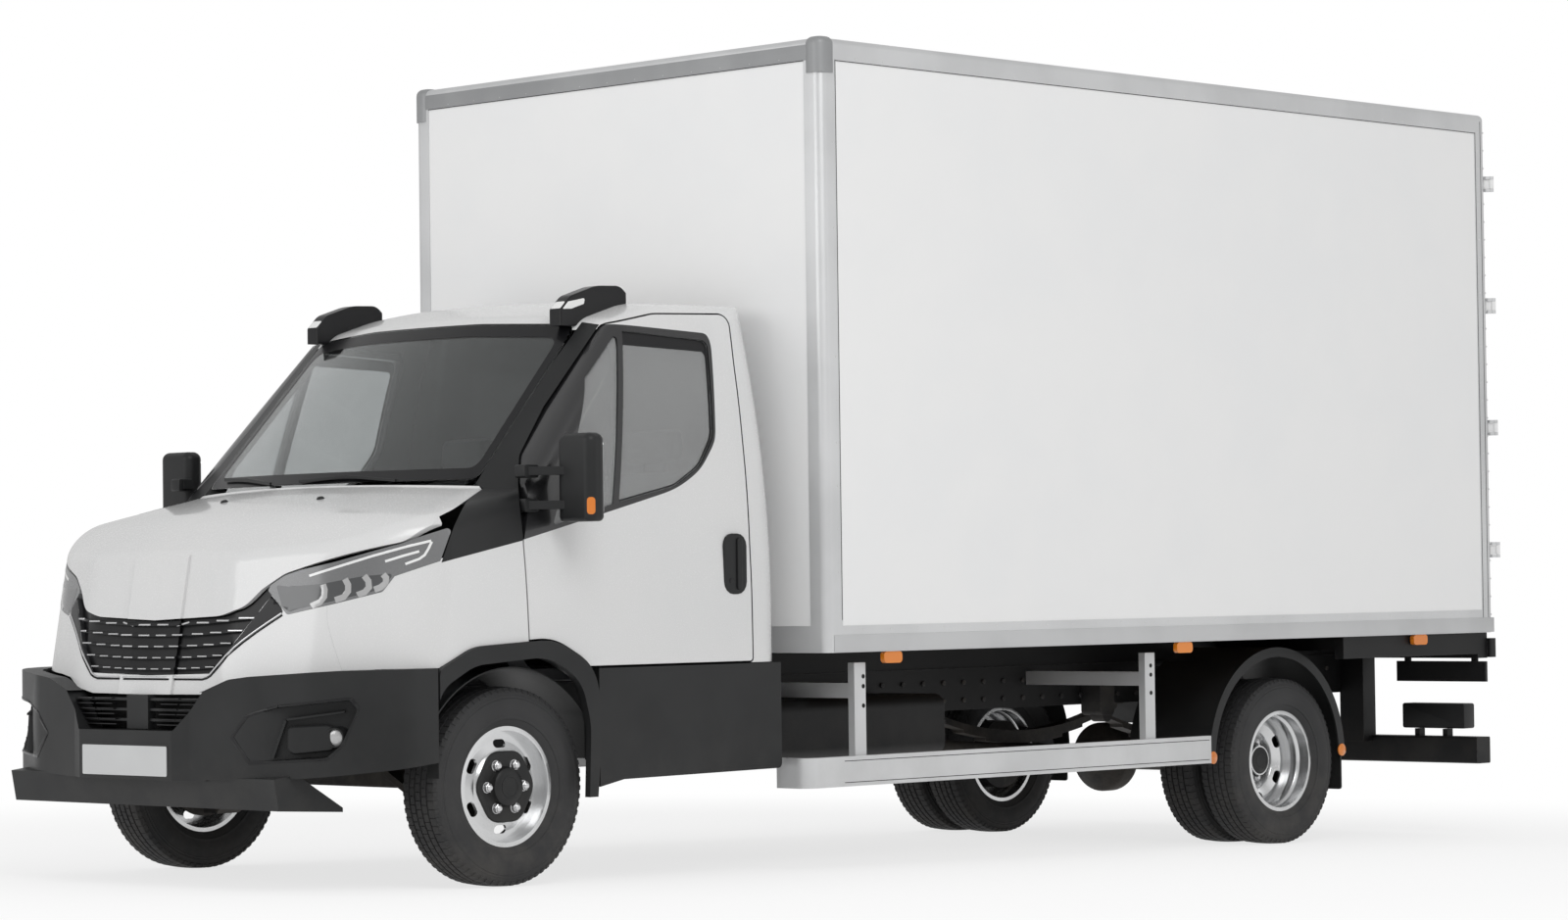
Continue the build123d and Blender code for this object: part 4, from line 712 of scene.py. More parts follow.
def treadBand(centre):
    settings = tyreSettings
    ribs, depth, wall = settings["ribs"], settings["grooveDepth"], settings["grooveWall"]
    crown = lambda a: settings["radius"] - settings["crownDrop"] * (a / ribs[-1][1]) ** 2
    under, underRadius = settings["bandUnder"]
    rows = [(-a, r, 0) for a, r in settings["shoulder"]]
    for (a0, a1, sipe), following in zip(ribs, ribs[1:] + [None]):
        rows += [(a, crown(a), sipe) for a in (a0, (a0 + a1) / 2, a1)]
        if following:
            rows += [(a1 + wall, crown(a1) - depth, 0), (following[0] - wall, crown(following[0]) - depth, 0)]
    rows += [(a, r, 0) for a, r in reversed(settings["shoulder"])]
    rows += [(under, underRadius, 0), (-under, underRadius, 0)]
    columns = settings["columns"]
    angles = [(p + c) / settings["pitches"] * 2 * math.pi for p in range(settings["pitches"]) for c in columns]
    vertices, faces = [], []
    for i, angle in enumerate(angles):
        for a, r, sipe in rows:
            r -= settings["sipeDepth"] if sipe and i % len(columns) == sipe else 0.0
            vertices.append(Vector(centre) + Vector((a, math.cos(angle) * r, math.sin(angle) * r)))
    count, total = len(rows), len(angles)
    for i in range(total):
        here, after = i * count, ((i + 1) % total) * count
        faces += [(here + k, after + k, after + (k + 1) % count, here + (k + 1) % count) for k in range(count)]
    return vertices, faces


def carcass(centre):
    outside, inside = tyreSettings["carcass"], tyreSettings["inside"]
    profile = outside + [(-a, r) for a, r in reversed(outside)]
    profile += [(-a, r) for a, r in inside] + [(a, r) for a, r in reversed(inside)]
    return turned(profile, centre, count=96, closed=True)


def chamferBlock(length, width, height, chamfer):
    # a small block on its base at the origin, its top drawn in
    l, w, c = length / 2, width / 2, chamfer
    levels = [(l, w, 0), (l, w, height - c), (l - c, w - c, height)]
    vertices = [(x * a, y * b, z) for a, b, z in levels for x, y in ((-1, -1), (1, -1), (1, 1), (-1, 1))]
    faces = [(3, 2, 1, 0), (8, 9, 10, 11)]
    for low, high in ((0, 4), (4, 8)):
        faces += [(low + k, low + (k + 1) % 4, high + (k + 1) % 4, high + k) for k in range(4)]
    return vertices, faces


def makeTyre(name, centres, body, node):
    parts = [form(centre) for centre in centres for form in (treadBand, carcass)]
    piece = addPiece(name, parts, "tyreRubber", body)
    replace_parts(piece, node)
    settings, places = tyreSettings, []
    leanUp, leanOut = settings["lugLean"]
    for centre in centres:
        for k in range(settings["pitches"]):
            angle = 2 * math.pi * (k + settings["lugPhase"]) / settings["pitches"]
            radial = Vector((0, math.cos(angle), math.sin(angle)))
            for side in (-1, 1):
                outward = Vector((side, 0, 0))
                places.append((Vector(centre) + outward * settings["lugOut"] + radial * settings["lugRadius"],
                               radial * leanUp + outward * leanOut, radial * leanOut - outward * leanUp))
    repeatPiece(name + "Lugs", chamferBlock(*settings["lug"]), places, "tyreRubber", body)


wheelSettings = {
    "frontOut": 848.0, "hubUp": 349.5, "rearBack": 4350.0, "rearUp": 266.8, "rearOut": 890.0, "twin": 222.0,
}


def rearCentre(way, inward):
    return Vector((way * (wheelSettings["rearOut"] - inward), wheelSettings["rearBack"], wheelSettings["rearUp"]))


for side, way in sides.items():
    tag = side.capitalize()
    frontCentre = Vector((way * wheelSettings["frontOut"], 0, wheelSettings["hubUp"]))
    makeTyre("tyreFront" + tag, [frontCentre], "front_wheel_" + side, "front_tyre_" + side)
    makeTyre("tyresRear" + tag, [rearCentre(way, 0), rearCentre(way, wheelSettings["twin"])],
             "rear_wheels_" + side, "rear_tyres_" + side)
print("tyres ready")

# Wheel centres
hubSettings = {
    "nutCircle": 86.0, "nuts": 6, "frontNuts": 60.5, "rearNuts": 11.0, "lobe": 0.035, "lobeFrom": 104.0,
    # columns: along, radius
    "cover": [(58.4, 127.0), (62.5, 128.5), (66.5, 125.0), (68.0, 114.0), (65.5, 108.0), (65.0, 72.0), (70.0, 68.5),
              (83.0, 66.0), (89.0, 59.0), (92.0, 46.0), (92.6, 0.4)],
    "ring": [(89.0, 40.0), (93.6, 40.0), (93.6, 34.0), (91.0, 32.0)],
    "cap": [(8.0, 66.0), (40.0, 64.5), (60.0, 63.0), (72.0, 60.0), (77.0, 52.0), (78.5, 30.0), (80.0, 28.0),
            (80.0, 0.4)],
    # the washer, the hexagon and the cap of a nut: profile, number of sides
    "nut": [([(0, 20.0), (4.5, 20.0), (5.5, 17.0)], 24), ([(4, 17.0), (17.0, 17.0), (19.5, 14.0)], 6),
            ([(15, 13.0), (22.0, 12.0), (26.0, 8.0), (27.5, 0.3)], 16)],
}


def hubPart(rows, centre, way, count):
    return turned([(way * a, r) for a, r in hubSettings[rows]], centre, count=count)


def lobed(part, centre):
    # the rim of the front cover swells out towards each nut
    vertices, faces = part
    shaped = []
    for v in vertices:
        y, z = v.y - centre.y, v.z - centre.z
        if math.hypot(y, z) > hubSettings["lobeFrom"]:
            grow = 1 + hubSettings["lobe"] * math.cos(hubSettings["nuts"] * math.atan2(z, y))
            v = Vector((v.x, centre.y + y * grow, centre.z + z * grow))
        shaped.append(v)
    return shaped, faces


def makeNuts(name, centre, way, out, body):
    places = []
    for k in range(hubSettings["nuts"]):
        angle = 2 * math.pi * k / hubSettings["nuts"]
        radial = Vector((0, math.cos(angle), math.sin(angle)))
        places.append((centre + Vector((way * out, 0, 0)) + radial * hubSettings["nutCircle"], (way, 0, 0), radial))
    nut = joinLists([standing(profile, count) for profile, count in hubSettings["nut"]])
    repeatPiece(name, nut, places, "satinSilver", body)


for side, way in sides.items():
    tag, frontBody, rearBody = side.capitalize(), "front_wheel_" + side, "rear_wheels_" + side
    centre = Vector((way * wheelSettings["frontOut"], 0, wheelSettings["hubUp"]))
    cover = [lobed(hubPart("cover", centre, way, 96), centre), hubPart("ring", centre, way, 48)]
    addPiece("hubCover" + tag, cover, "blackMoulding", frontBody)
    makeNuts("wheelNuts" + tag, centre, way, hubSettings["frontNuts"], frontBody)
    centre = rearCentre(way, wheelSettings["twin"] / 2)
    addPiece("hubCapRear" + tag, hubPart("cap", centre, way, 64), "blackMoulding", rearBody)
    makeNuts("wheelNutsRear" + tag, centre, way, hubSettings["rearNuts"], rearBody)
print("hubs ready")

# Cab trim: window borders, screen border, handles and mirrors; outlines hold back or across, up, radius
borderSettings = {
    "doorOuter": [(494, 1346, 8), (783, 1406, 160), (918, 1480, 160),
                  (1002, 1586, 90), (1050, 1943, 30), (628, 1966, 8)],
    "doorInner": [(498, 1352, 8), (782, 1411, 160), (912, 1482, 150),
                  (992, 1590, 90), (1034, 1902, 20), (622, 1916, 8)],
    "screenOuter": [(-756, 1431, 28), (-713, 1992, 46), (-300, 2010, 1200),
                    (300, 2010, 1200), (713, 1992, 46), (756, 1431, 28)],
    "screenInner": [(-722, 1470, 30), (-684, 1950, 50), (-300, 1968, 1200),
                    (300, 1968, 1200), (684, 1950, 50), (722, 1470, 30)],
}
onDoors("windowBorder", [drape("side", borderSettings["doorOuter"], ("door_glass_left",), 0.5, 0.8,
                               [borderSettings["doorInner"]], step=24.0)], "blackGloss")
addPiece("screenBorder", drape("front", borderSettings["screenOuter"], ("windscreen",), 0.6, 0.8,
                               [borderSettings["screenInner"]], step=32.0), "blackGloss")

handleSettings = {
    "out": 1008.0, "bezel": (1000, 1116, 1009, 1231, 46), "bezelDepth": (-19, 2.2, 2.0),
    "grip": (1062, 1090, 1023, 1217, 12), "gripDepth": (-6, 10, 6.0),
    "lock": [(0, 9.0), (2, 9.0), (3, 7.0), (3, 0.3)], "lockPlace": (2.0, 1034, 1058),
}
out = handleSettings["out"]
handle = []
for outline, (near, far, bevel) in (("bezel", handleSettings["bezelDepth"]), ("grip", handleSettings["gripDepth"])):
    handle.append(prismOf("side", boxRows(*handleSettings[outline]), out + near, out + far, bevel))
lockPlace = Vector((out, 0, 0)) + Vector(handleSettings["lockPlace"])
onDoors("doorHandle", handle + [turned(handleSettings["lock"], lockPlace, count=20)], "blackMoulding")

mirrorSettings = {
    "lamp": (946, 975, 1296, 1356, 12), "glass": (1056, 1206, 1290, 1562, 26),
    # heights of the feet on the door, and of the blocks at the mirror
    "feet": (1332, 1452), "blocks": (1310, 1430), "blockHeight": 46,
}
onDoors("mirrorLamp", [drape("corner", boxRows(*mirrorSettings["lamp"]), ("mirror_left",), 0.9, 2.0,
                             step=12.0, soften=0.6)], "amberLens")
onDoors("mirrorGlass", [drape("rear", boxRows(*mirrorSettings["glass"]), ("mirror_left",), 1.4, 1.0,
                              step=40.0, soften=0.6)], "brightMetal")
feet = [prismOf("side", boxRows(26, 94, up - 24, up + 22, 8), 950, 1003, 4.0) for up in mirrorSettings["feet"]]
feet += [prismOf("top", boxRows(1060, 1102, 146, 202, 16), up, up + mirrorSettings["blockHeight"], 3.0)
         for up in mirrorSettings["blocks"]]
onDoors("mirrorFeet", feet, "blackMoulding")
print("cab trim ready")

# Grille: bright dashes along the slats
dashSettings = {
    "count": 10, "share": 0.60, "length": 50.0, "height": 4.6, "proud": 2.4, "chamfer": 1.0, "slat": 4.5,
    "narrow": 0.985, "ahead": 9, "sink": 0.8,
    # columns: half width of the row, height at the middle, height at the ends
    "rows": [(332, 772, 780), (366, 811, 820), (402, 850, 862), (440, 889, 905), (478, 926, 948)],
}
grilleTree = skinTree("grille")
dashPlaces, dashSizes = [], []
for half, middleUp, endUp in dashSettings["rows"]:
    pitch = 2 * half / (dashSettings["count"] - 1)
    for k in range(dashSettings["count"]):
        x = pitch * k - half
        inward = 1 if x < 0 else -1
        across, up = x * dashSettings["narrow"], middleUp + (endUp - middleUp) * (x / half) ** 2 + dashSettings["slat"]
        place, normal = castOnto(grilleTree, "front", across, up)
        ahead = castOnto(grilleTree, "front", across + inward * dashSettings["ahead"], up)[0]
        if place is not None and ahead is not None:
            dashPlaces.append((place - normal * dashSettings["sink"], normal, (ahead - place) * inward))
            dashSizes.append(pitch * dashSettings["share"] / dashSettings["length"])
dash = chamferBlock(*(dashSettings[key] for key in ("length", "height", "proud", "chamfer")))
repeatPiece("grilleDashes", dash, dashPlaces, "satinSilver", sizes=dashSizes)


def ribbon(points, width):
    # the outline of a band of constant width along a line of points, a and b
    points = [Vector(p[:2]) for p in points]
    left, right = [], []
    for i, p in enumerate(points):
        ahead = (points[min(i + 1, len(points) - 1)] - points[max(i - 1, 0)]).normalized()
        side = Vector((-ahead.y, ahead.x))
        if 0 < i < len(points) - 1:
            side = side / max((points[i + 1] - p).normalized().dot(ahead), 0.5)
        left.append(p + side * width / 2)
        right.append(p - side * width / 2)
    return [(p.x, p.y, 0) for p in left + right[::-1]]


# the dark field goes on past the grille's edge; under the grille a bright tube is a painted highlight, and a dark tube
# under that is its painted shadow
fieldEdge = [(398, 815, 0), (470, 877, 60), (604, 969, 10), (606, 1000, 10), (592, 1052, 0), (566, 1052, 0),
             (505, 965, 0), (440, 875, 0)]
noseSkin = ("nose_panel", "front_wings")
addPiece("grilleField", drape("front", fieldEdge, noseSkin, 1.6, 1.2, step=14.0, soften=0.6),
         "blackGloss", bothSides=True)
highlightShadowSettings = {
    "level": 747, "half": 300, "pitch": 25, "shift": 0.5,
    "rows": [(320, 752), (338, 760), (355, 774), (372, 789), (408, 824), (438, 851), (468, 876), (512, 908), (560, 940),
             (602, 967)],
    # columns: name, drop under the line, proud, radius, material, slot
    "tubes": [("grilleStrip", 0.0, 1.6, 3.4, "satinSilver", "profile_aluminium"),
              ("grilleShadow", 6.5, 0.2, 3.0, "doorSeal", "black_gloss")],
}
highlightRows = [(x, highlightShadowSettings["level"]) for x in range(0, highlightShadowSettings["half"] + 1, highlightShadowSettings["pitch"])]
# both tubes are painted light: the bright one a painted highlight, the dark one a painted shadow
for name, drop, proud, radius, material, slot in highlightShadowSettings["tubes"]:
    line = []
    for x, z in highlightRows + highlightShadowSettings["rows"]:
        aside = drop * highlightShadowSettings["shift"] * (x > highlightShadowSettings["half"])
        place, normal = castOnto(skinTree(*noseSkin), "front", x + aside, z - drop)
        if place is not None:
            line.append(place + normal * proud)
    line = [Vector((-p.x, p.y, p.z)) for p in reversed(line[1:])] + line
    addPiece(name, tubeAlong(line, radius, 8), material)

# Headlamp: light strips, the bright bowls behind the lens, and the darker lower field; corner view
lampSettings = {
    "strips": [[(1, 1094), (109, 1126), (217, 1158), (325, 1187), (418, 1209)],
               [(420, 1206), (409, 1182), (396, 1160), (378, 1147), (331, 1130)],
               [(263, 1140), (320, 1157), (378, 1173)]],
    "field": [(-118, 1064, 6), (-73, 1058, 10), (45, 1066, 40), (185, 1090, 40), (283, 1098, 8), (286, 1088, 10),
              (246, 1044, 14), (109, 1012, 60), (-37, 982, 30), (-70, 972, 8), (-96, 992, 10)],
    "bowls": [[(50, 1064), (56, 1046), (54, 1022), (40, 1004), (8, 990)],
              [(126, 1082), (137, 1062), (137, 1040), (122, 1020), (92, 1010)],
              [(192, 1092), (206, 1074), (208, 1052), (194, 1036), (168, 1026)],
              [(256, 1096), (266, 1084), (265, 1066), (248, 1052), (226, 1044)]],
    "stripWidth": 8.5, "bowlWidth": 21.0,
}
strips = [drape("corner", ribbon(line, lampSettings["stripWidth"]), ("headlamps",), 1.6, 1.0, step=24.0, soften=0.6)
          for line in lampSettings["strips"]]
bowls = [drape("corner", ribbon(line, lampSettings["bowlWidth"]), ("headlamps",), 1.7, 0.6, step=14.0, soften=0.8)
         for line in lampSettings["bowls"]]
addPiece("lampStrips", strips, "lampLight", bothSides=True)
addPiece("lampField", drape("corner", lampSettings["field"], ("headlamps",), 0.8, 1.0, step=24.0, soften=0.4),
         "lampField", bothSides=True)
addPiece("lampBowls", bowls, "lampBowl", bothSides=True)

# Fog lamp in its pocket; outlines in the corner view
fogSettings = {
    "pocket": [(-262, 548, 8), (-205, 620, 30), (-97, 650, 30), (150, 672, 12), (176, 640, 20), (120, 520, 60),
               (70, 478, 20), (-200, 464, 8)],
    # the bezel's outline and its hole: scale across and up about the middle, shift across, more radius
    "middle": 566, "rim": (1.045, 1.09, 2, 4), "hole": (0.985, 0.97, 0, 0),
    "direction": (0.42, -0.90, -0.05), "centre": (98.0, 545.0, 1112.0),
    "housing": [([(-70, 486, 30), (96, 500, 30), (110, 560, 40), (80, 590, 40), (-64, 584, 20)], 1112, 12.0, 3),
                ([(-66, 604, 4), (128, 628, 4), (134, 636, 2), (-66, 612, 2)], 1116, 2.0, 2),
                ([(-120, 476, 4), (-112, 476, 4), (-66, 606, 4), (-76, 606, 4)], 1108, 2.0, 2)],
    "back": 1078, "ring": [(-40, 36.0), (4, 36.0), (9, 33.0), (9, 29.0), (3, 28.0), (-10, 28.0)],
    "lens": [(-4, 28.5), (1, 28.5), (4.5, 24.0), (7.0, 14.0), (7.8, 0.4)],
}
middle = fogSettings["middle"]
fogRim, fogHole = ([(a * wide + aside, middle + (b - middle) * tall, r + more) for a, b, r in fogSettings["pocket"]]
                   for wide, tall, aside, more in (fogSettings["rim"], fogSettings["hole"]))
fogCentre = sum((way * reach for way, reach in zip(lookAlong["corner"], fogSettings["centre"])), Vector((0, 0, 0)))
fogParts = [prismOf("corner", rows, fogSettings["back"], out, bevel, segments=segments)
            for rows, out, bevel, segments in fogSettings["housing"]]
fogParts.append(turned(fogSettings["ring"], fogCentre, fogSettings["direction"], 40))
addPiece("fogHousing", fogParts, "blackMoulding", bothSides=True)
addPiece("fogLens", turned(fogSettings["lens"], fogCentre, fogSettings["direction"], 40), "lampBowl", bothSides=True)
addPiece("fogBezel", drape("corner", fogRim, ("front_bumper",), 2.4, 2.0, [fogHole], step=22.0, soften=1.4),
         "blackGloss", bothSides=True)

# Lower intake and plate
intakeSettings = {
    "columns": (-300, -190, 190, 300), "rows": 6, "low": 584, "pitch": 18, "front": -884, "spread": (0.86, 0.03),
    "fin": (96.0, 4.0, 22.0, 1.0), "back": (-500, 500, 545, 735, 10),
}
finPlaces = []
for row in range(intakeSettings["rows"]):
    spread, more = intakeSettings["spread"]
    up = intakeSettings["low"] + row * intakeSettings["pitch"]
    finPlaces += [((x * (spread + row * more), intakeSettings["front"], up), (0, -1, 0), (1, 0, 0))
                  for x in intakeSettings["columns"]]
addPiece("intakeBack", prismOf("front", boxRows(*intakeSettings["back"]), 770, 776, 1.0), "doorSeal")
repeatPiece("intakeFins", chamferBlock(*intakeSettings["fin"]), finPlaces, "blackGloss")
plateLow, plateHigh = (toChassis @ Vector(corner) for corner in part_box("number_plate"))
plateHalf, plateUp, plateDown = plateHigh.x, max(plateLow.z, plateHigh.z), min(plateLow.z, plateHigh.z)
plateRows = [boxRows(-plateHalf - more, plateHalf + more, plateDown - rise, plateUp + rise, radius)
             for more, rise, radius in ((9, 8, 8), (1, 1, 2))]
addPiece("plateFrame", drape("front", plateRows[0], ("front_bumper",), 1.2, 1.0, plateRows[1:], step=60.0, soften=0.5),
         "blackMoulding")
print("front ready")

# Seats: side outlines hold back, up, radius; then the inset from the seat's side
seatSettings = {
    # columns: middle across, width of the seat
    "rows": [(520.0, 500.0), (-310.0, 880.0)], "single": 600, "gap": 3, "fill": 0.75,
    "shell": [([(566, 702, 20), (556, 1010, 40), (1150, 1010, 30), (1150, 702, 20)], 8, 12.0),
              ([(1010, 1000, 20), (1140, 1000, 30), (1162, 1440, 40), (1120, 1440, 20)], 22, 14.0)],
    # columns: outline, inset or half width, bevel, crown
    "cushion": ([(548, 1012, 20), (552, 1070, 40), (580, 1138, 46), (980, 1122, 40), (980, 1012, 20)],
                4, 26.0, 11.0),
    "back": ([(962, 1128, 40), (1066, 1460, 40), (1112, 1472, 40), (1130, 1300, 60), (1112, 1110, 30)],
             8, 24.0, 11.0),
    "head": ([(1078, 1502, 30), (1090, 1618, 30), (1150, 1634, 26), (1166, 1560, 40), (1150, 1500, 26)],
             128, 22.0, 8.0),
    "post": [(1118, 1440), (1124, 1520)], "postOut": 60, "postRadius": 7.0,
    # sewn channel: share of half the cushion's width, width, depth
    "channel": (0.52, 7.0, 6.0), "slice": 34,
}


def paddedForm(rows, x0, x1, bevel, crown, channels=()):
    # a cushion: rounded all round, crowned between its corners, with sewn channels across
    mesh = meshOf("padded", *prismOf("side", rows, x0, x1, bevel, steps=5, segments=5))
    work = bmesh.new()
    work.from_mesh(mesh)
    bpy.data.meshes.remove(mesh)
    for axis in (0, 1, 2):
        low, high = min(v.co[axis] for v in work.verts), max(v.co[axis] for v in work.verts)
        cutEvenly(work, axis, low, high, max(3, int((high - low) / seatSettings["slice"])))
    bmesh.ops.triangulate(work, faces=[f for f in work.faces if len(f.verts) > 4])
    work.normal_update()
    middle, half = (x0 + x1) / 2, (x1 - x0) / 2
    moves = []
    for v in work.verts:
        away = abs(v.co.x - middle)
        pull = crown * (max(0.0, 1 - (away / half) ** 2) ** 0.5 - 1.0)
        pull -= sum(depth * math.exp(-((away - line) / width) ** 2) for line, width, depth in channels)
        moves.append(v.normal * pull)
    for v, move in zip(work.verts, moves):
        v.co += move
    return partOf(work)


seatShell, seatPads = [], []
for middle, width in seatSettings["rows"]:
    x0, x1 = middle - width / 2, middle + width / 2
    seatShell += [prismOf("side", rows, x0 + inset, x1 - inset, bevel) for rows, inset, bevel in seatSettings["shell"]]
    single = width < seatSettings["single"]
    for a, b in [(x0, x1)] if single else [(x0, middle - seatSettings["gap"]), (middle + seatSettings["gap"], x1)]:
        own = (a + b) / 2
        share, channelWidth, channelDepth = seatSettings["channel"]
        channels = [((b - a) / 2 * share, channelWidth, channelDepth)]
        for kind in ("Cushion", "Back"):
            rows, inset, bevel, crown = seatSettings[kind.lower()]
            seatPads.append((kind, paddedForm(rows, a + inset, b - inset, bevel, crown, channels)))
        rows, half, bevel, crown = seatSettings["head"]
        seatPads.append(("Head", paddedForm(rows, own - half, own + half, bevel, crown)))
        seatShell += [tubeAlong([(x, *point) for point in seatSettings["post"]], seatSettings["postRadius"])
                      for x in (own - seatSettings["postOut"], own + seatSettings["postOut"])]
shell = addPiece("seatShell", seatShell, "cabLining")
for count, (kind, part) in enumerate(seatPads):
    pad = addPiece("seat%s%d" % (kind, count), part, "seatCloth")
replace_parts(shell, "seats")
print("seats ready")

# Box: rivets, seams and rails
boxSettings = {
    "front": 1398.0, "rear": 5666.0, "half": 1145.0, "bottom": 786.0, "top": 3074.0, "closePitch": 78.0, "pitch": 150.0,
    "rivet": [(0, 4.2), (4.2 * 0.28, 4.2 * 0.86), (4.2 * 0.46, 4.2 * 0.5), (4.2 * 0.52, 0.2)],
    "seamIn": 3.0, "seamProud": 0.5, "railProud": 3.0,
}


def rivetRow(start, stop, out, along, pitch=boxSettings["pitch"]):
    start, stop = Vector(start), Vector(stop)
    count = max(2, int((stop - start).length / pitch))
    return [(start.lerp(stop, (k + 0.5) / count), out, along) for k in range(count)]


half, front, rear, low, high = (boxSettings[key] for key in ("half", "front", "rear", "bottom", "top"))
rivets, seams, rails = [], [], []
for side in (-1, 1):
    wall, out = side * half, (side, 0, 0)
    # columns: back, lowest, highest, pitch of each upright row; then the height of each level row
    for back, first, last, pitch in ((rear - 22, low + 40, high - 40, boxSettings["closePitch"]),
                                     (rear - 62, low + 40, high - 40, boxSettings["closePitch"]),
                                     (front + 66, low + 60, high - 150, boxSettings["pitch"])):
        rivets += rivetRow((wall, back, first), (wall, back, last), out, (0, 0, 1), pitch)
    for up in (high - 70, low + 86):
        rivets += rivetRow((wall, front + 120, up), (wall, rear - 90, up), out, (0, 1, 0))
    for rows in ((rear - 44.5, rear - 41.5, low + 30, high - 30), (rear - 83, rear - 80, low + 30, high - 80),
                 (front + 80.5, front + 83.5, low + 120, high - 80), (front + 84, rear - 84, high - 84.5, high - 82.0)):
        seams.append(prismOf("side", boxRows(*rows, 2), side * (half - boxSettings["seamIn"]),
                             side * (half + boxSettings["seamProud"])))
    rows = [(front + 36, low + 2, 2), (rear - 4, low + 2, 2), (rear - 4, low + 66, 3), (front + 36, low + 66, 3)]
    proud = boxSettings["railProud"]
    rails.append(prismOf("side", rows, side * (half - proud), side * (half + proud), 1.2))
rivets += rivetRow((-half + 130, front, high - 70), (half - 130, front, high - 70), (0, -1, 0), (1, 0, 0))
seams.append(prismOf("front", boxRows(-half + 84, half - 84, high - 84.5, high - 82.0, 1),
                     -(front + boxSettings["seamIn"]), -(front - boxSettings["seamProud"])))
repeatPiece("boxRivets", standing(boxSettings["rivet"], 10), rivets, "satinSilver")
addPiece("boxSeams", seams, "doorSeal")
addPiece("frontTopRail", prismOf("front", boxRows(-half + 60, half - 60, high - 82, high - 24, 8),
                                 -(front + 3), -(front - 2.0), 1.0), "greyMetal")
addPiece("bottomRails", rails, "railPaint")
print("box trim ready")

# Rear: brackets and handles of the door bars, and the lamps
barSettings = {
    "outs": (150.0, 560.0), "brackets": (960, 1240, 1700, 2200, 2700, 2930), "bracket": (32, 22), "reach": 250,
    "handle": (1180, 1196, 1222, 1232),
}
for side, way in sides.items():
    metal = []
    wide, tall = barSettings["bracket"]
    for x in (way * out for out in barSettings["outs"]):
        metal += [prismOf("rear", boxRows(x - wide, x + wide, z - tall, z + tall, 6), rear - 1, rear + 22, 3.0)
                  for z in barSettings["brackets"]]
        end, ups = x + way * barSettings["reach"], barSettings["handle"]
        rows = [(x - 14, ups[0], 6), (end, ups[1], 8), (end, ups[2], 8), (x - 14, ups[3], 6)]
        metal.append(prismOf("rear", rows, rear + 18, rear + 30, 3.0))
    addPiece("lockBars" + side.capitalize(), metal, "satinSilver", "rear_door_" + side)

tailSettings = {
    "left": 695.0, "right": 1029.0, "low": 360.3, "high": 472.3, "back": 5632.0,
    # columns: name, finish, the ends of each lens from the housing's left end
    "lenses": [("tailRed", "redLens", [(8, 108), (210, 326)]), ("tailAmber", "amberLens", [(112, 206)])],
}
left, right, low, high, back = (tailSettings[key] for key in ("left", "right", "low", "high", "back"))
housing = prismOf("rear", boxRows(left + 0.5, right - 0.5, low + 0.5, high - 0.5, 10), back - 41, back + 38, 4.0)
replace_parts(addPiece("tailHousing", housing, "blackMoulding", bothSides=True), "tail_lamps")
for name, material, ends in tailSettings["lenses"]:
    lenses = [prismOf("rear", boxRows(left + a, left + b, low + 8, high - 8, 8), back + 30, back + 41.5, 3.0)
              for a, b in ends]
    addPiece(name, lenses, material, bothSides=True)

# roof lamp lenses, front and side of the black housings: name, view, outline, proud, step
roofSettings = [
    ("roofLenses", "front", boxRows(662, 714, 2052, 2078, 6), 1.4, 12.0),
    ("roofLensSides", "side", [(478, 2050, 2), (506, 2078, 6), (590, 2094, 6), (584, 2072, 6), (520, 2052, 10)],
     1.2, 16.0),
]
for name, view, rows, proud, step in roofSettings:
    addPiece(name, drape(view, rows, ("roof_lamps",), proud, 1.0, step=step, soften=0.8), "lampLight", bothSides=True)
print("rear ready")

# Lower parts: bolts of the guards, painted shade along the guards' grooves, reflectors, washer jets and rail bolts
lowSettings = {
    "guardBolts": [(back, z) for back in (1668.0, 3366.0) for z in (693, 656, 583)], "guardBoltSink": 0.8,
    "guardBolt": [(0, 9.0), (1.6, 8.4), (1.7, 5.0), (0.9, 4.6), (0.9, 0.2)],
    # the groove is looked for between two heights, at one place along the guard
    "search": (240, 460, 2), "searchAt": 2500.0, "grooveInset": 15, "grooveEnds": (1335, 3700), "grooveWidth": 2.6,
    "reflectors": (3862.0, 4744.0), "guardMiddle": (4303.0, 300.0),
    "reflector": [(-1, 26), (3.5, 26), (6, 22), (7, 0.4)],
    "jets": (-276, 272), "jetBack": -290.0, "jet": [(-1, 15), (3, 14), (8, 9), (9.5, 0.4)],
    "railBolts": 34, "railFrom": 1480.0, "railPitch": 122.0, "railUps": (632.0, 560.0), "railFacing": 0.9,
    "railBolt": [(-0.5, 11.0), (7.0, 11.0), (9.0, 9.0), (9.0, 0.3)],
}
guardTree = skinTree("side_guards")
placed = []
for side in (-1, 1):
    for back, up in lowSettings["guardBolts"]:
        place = castOnto(guardTree, "side", back, up)[0]
        if place is not None:
            own = side * (place.x - lowSettings["guardBoltSink"])
            placed.append(((own, place.y, place.z), (side, 0, 0), (0, 0, 1)))
repeatPiece("guardBolts", standing(lowSettings["guardBolt"], 16), placed, "doorSeal")

guardUps = [z for z in range(*lowSettings["search"])
            if castOnto(guardTree, "side", lowSettings["searchAt"], z)[0] is not None]
first, last = lowSettings["grooveEnds"]
# dark ribbons along the guard's grooves: painted shade in the grooves
guardLines = [drape("side", ribbon([(first, up), (last, up)], lowSettings["grooveWidth"]), ("side_guards",), 0.5, 0.6,
                    step=200.0)
              for up in (min(guardUps) + lowSettings["grooveInset"], max(guardUps) - lowSettings["grooveInset"])]
addPiece("guardLines", guardLines, "doorSeal", bothSides=True)

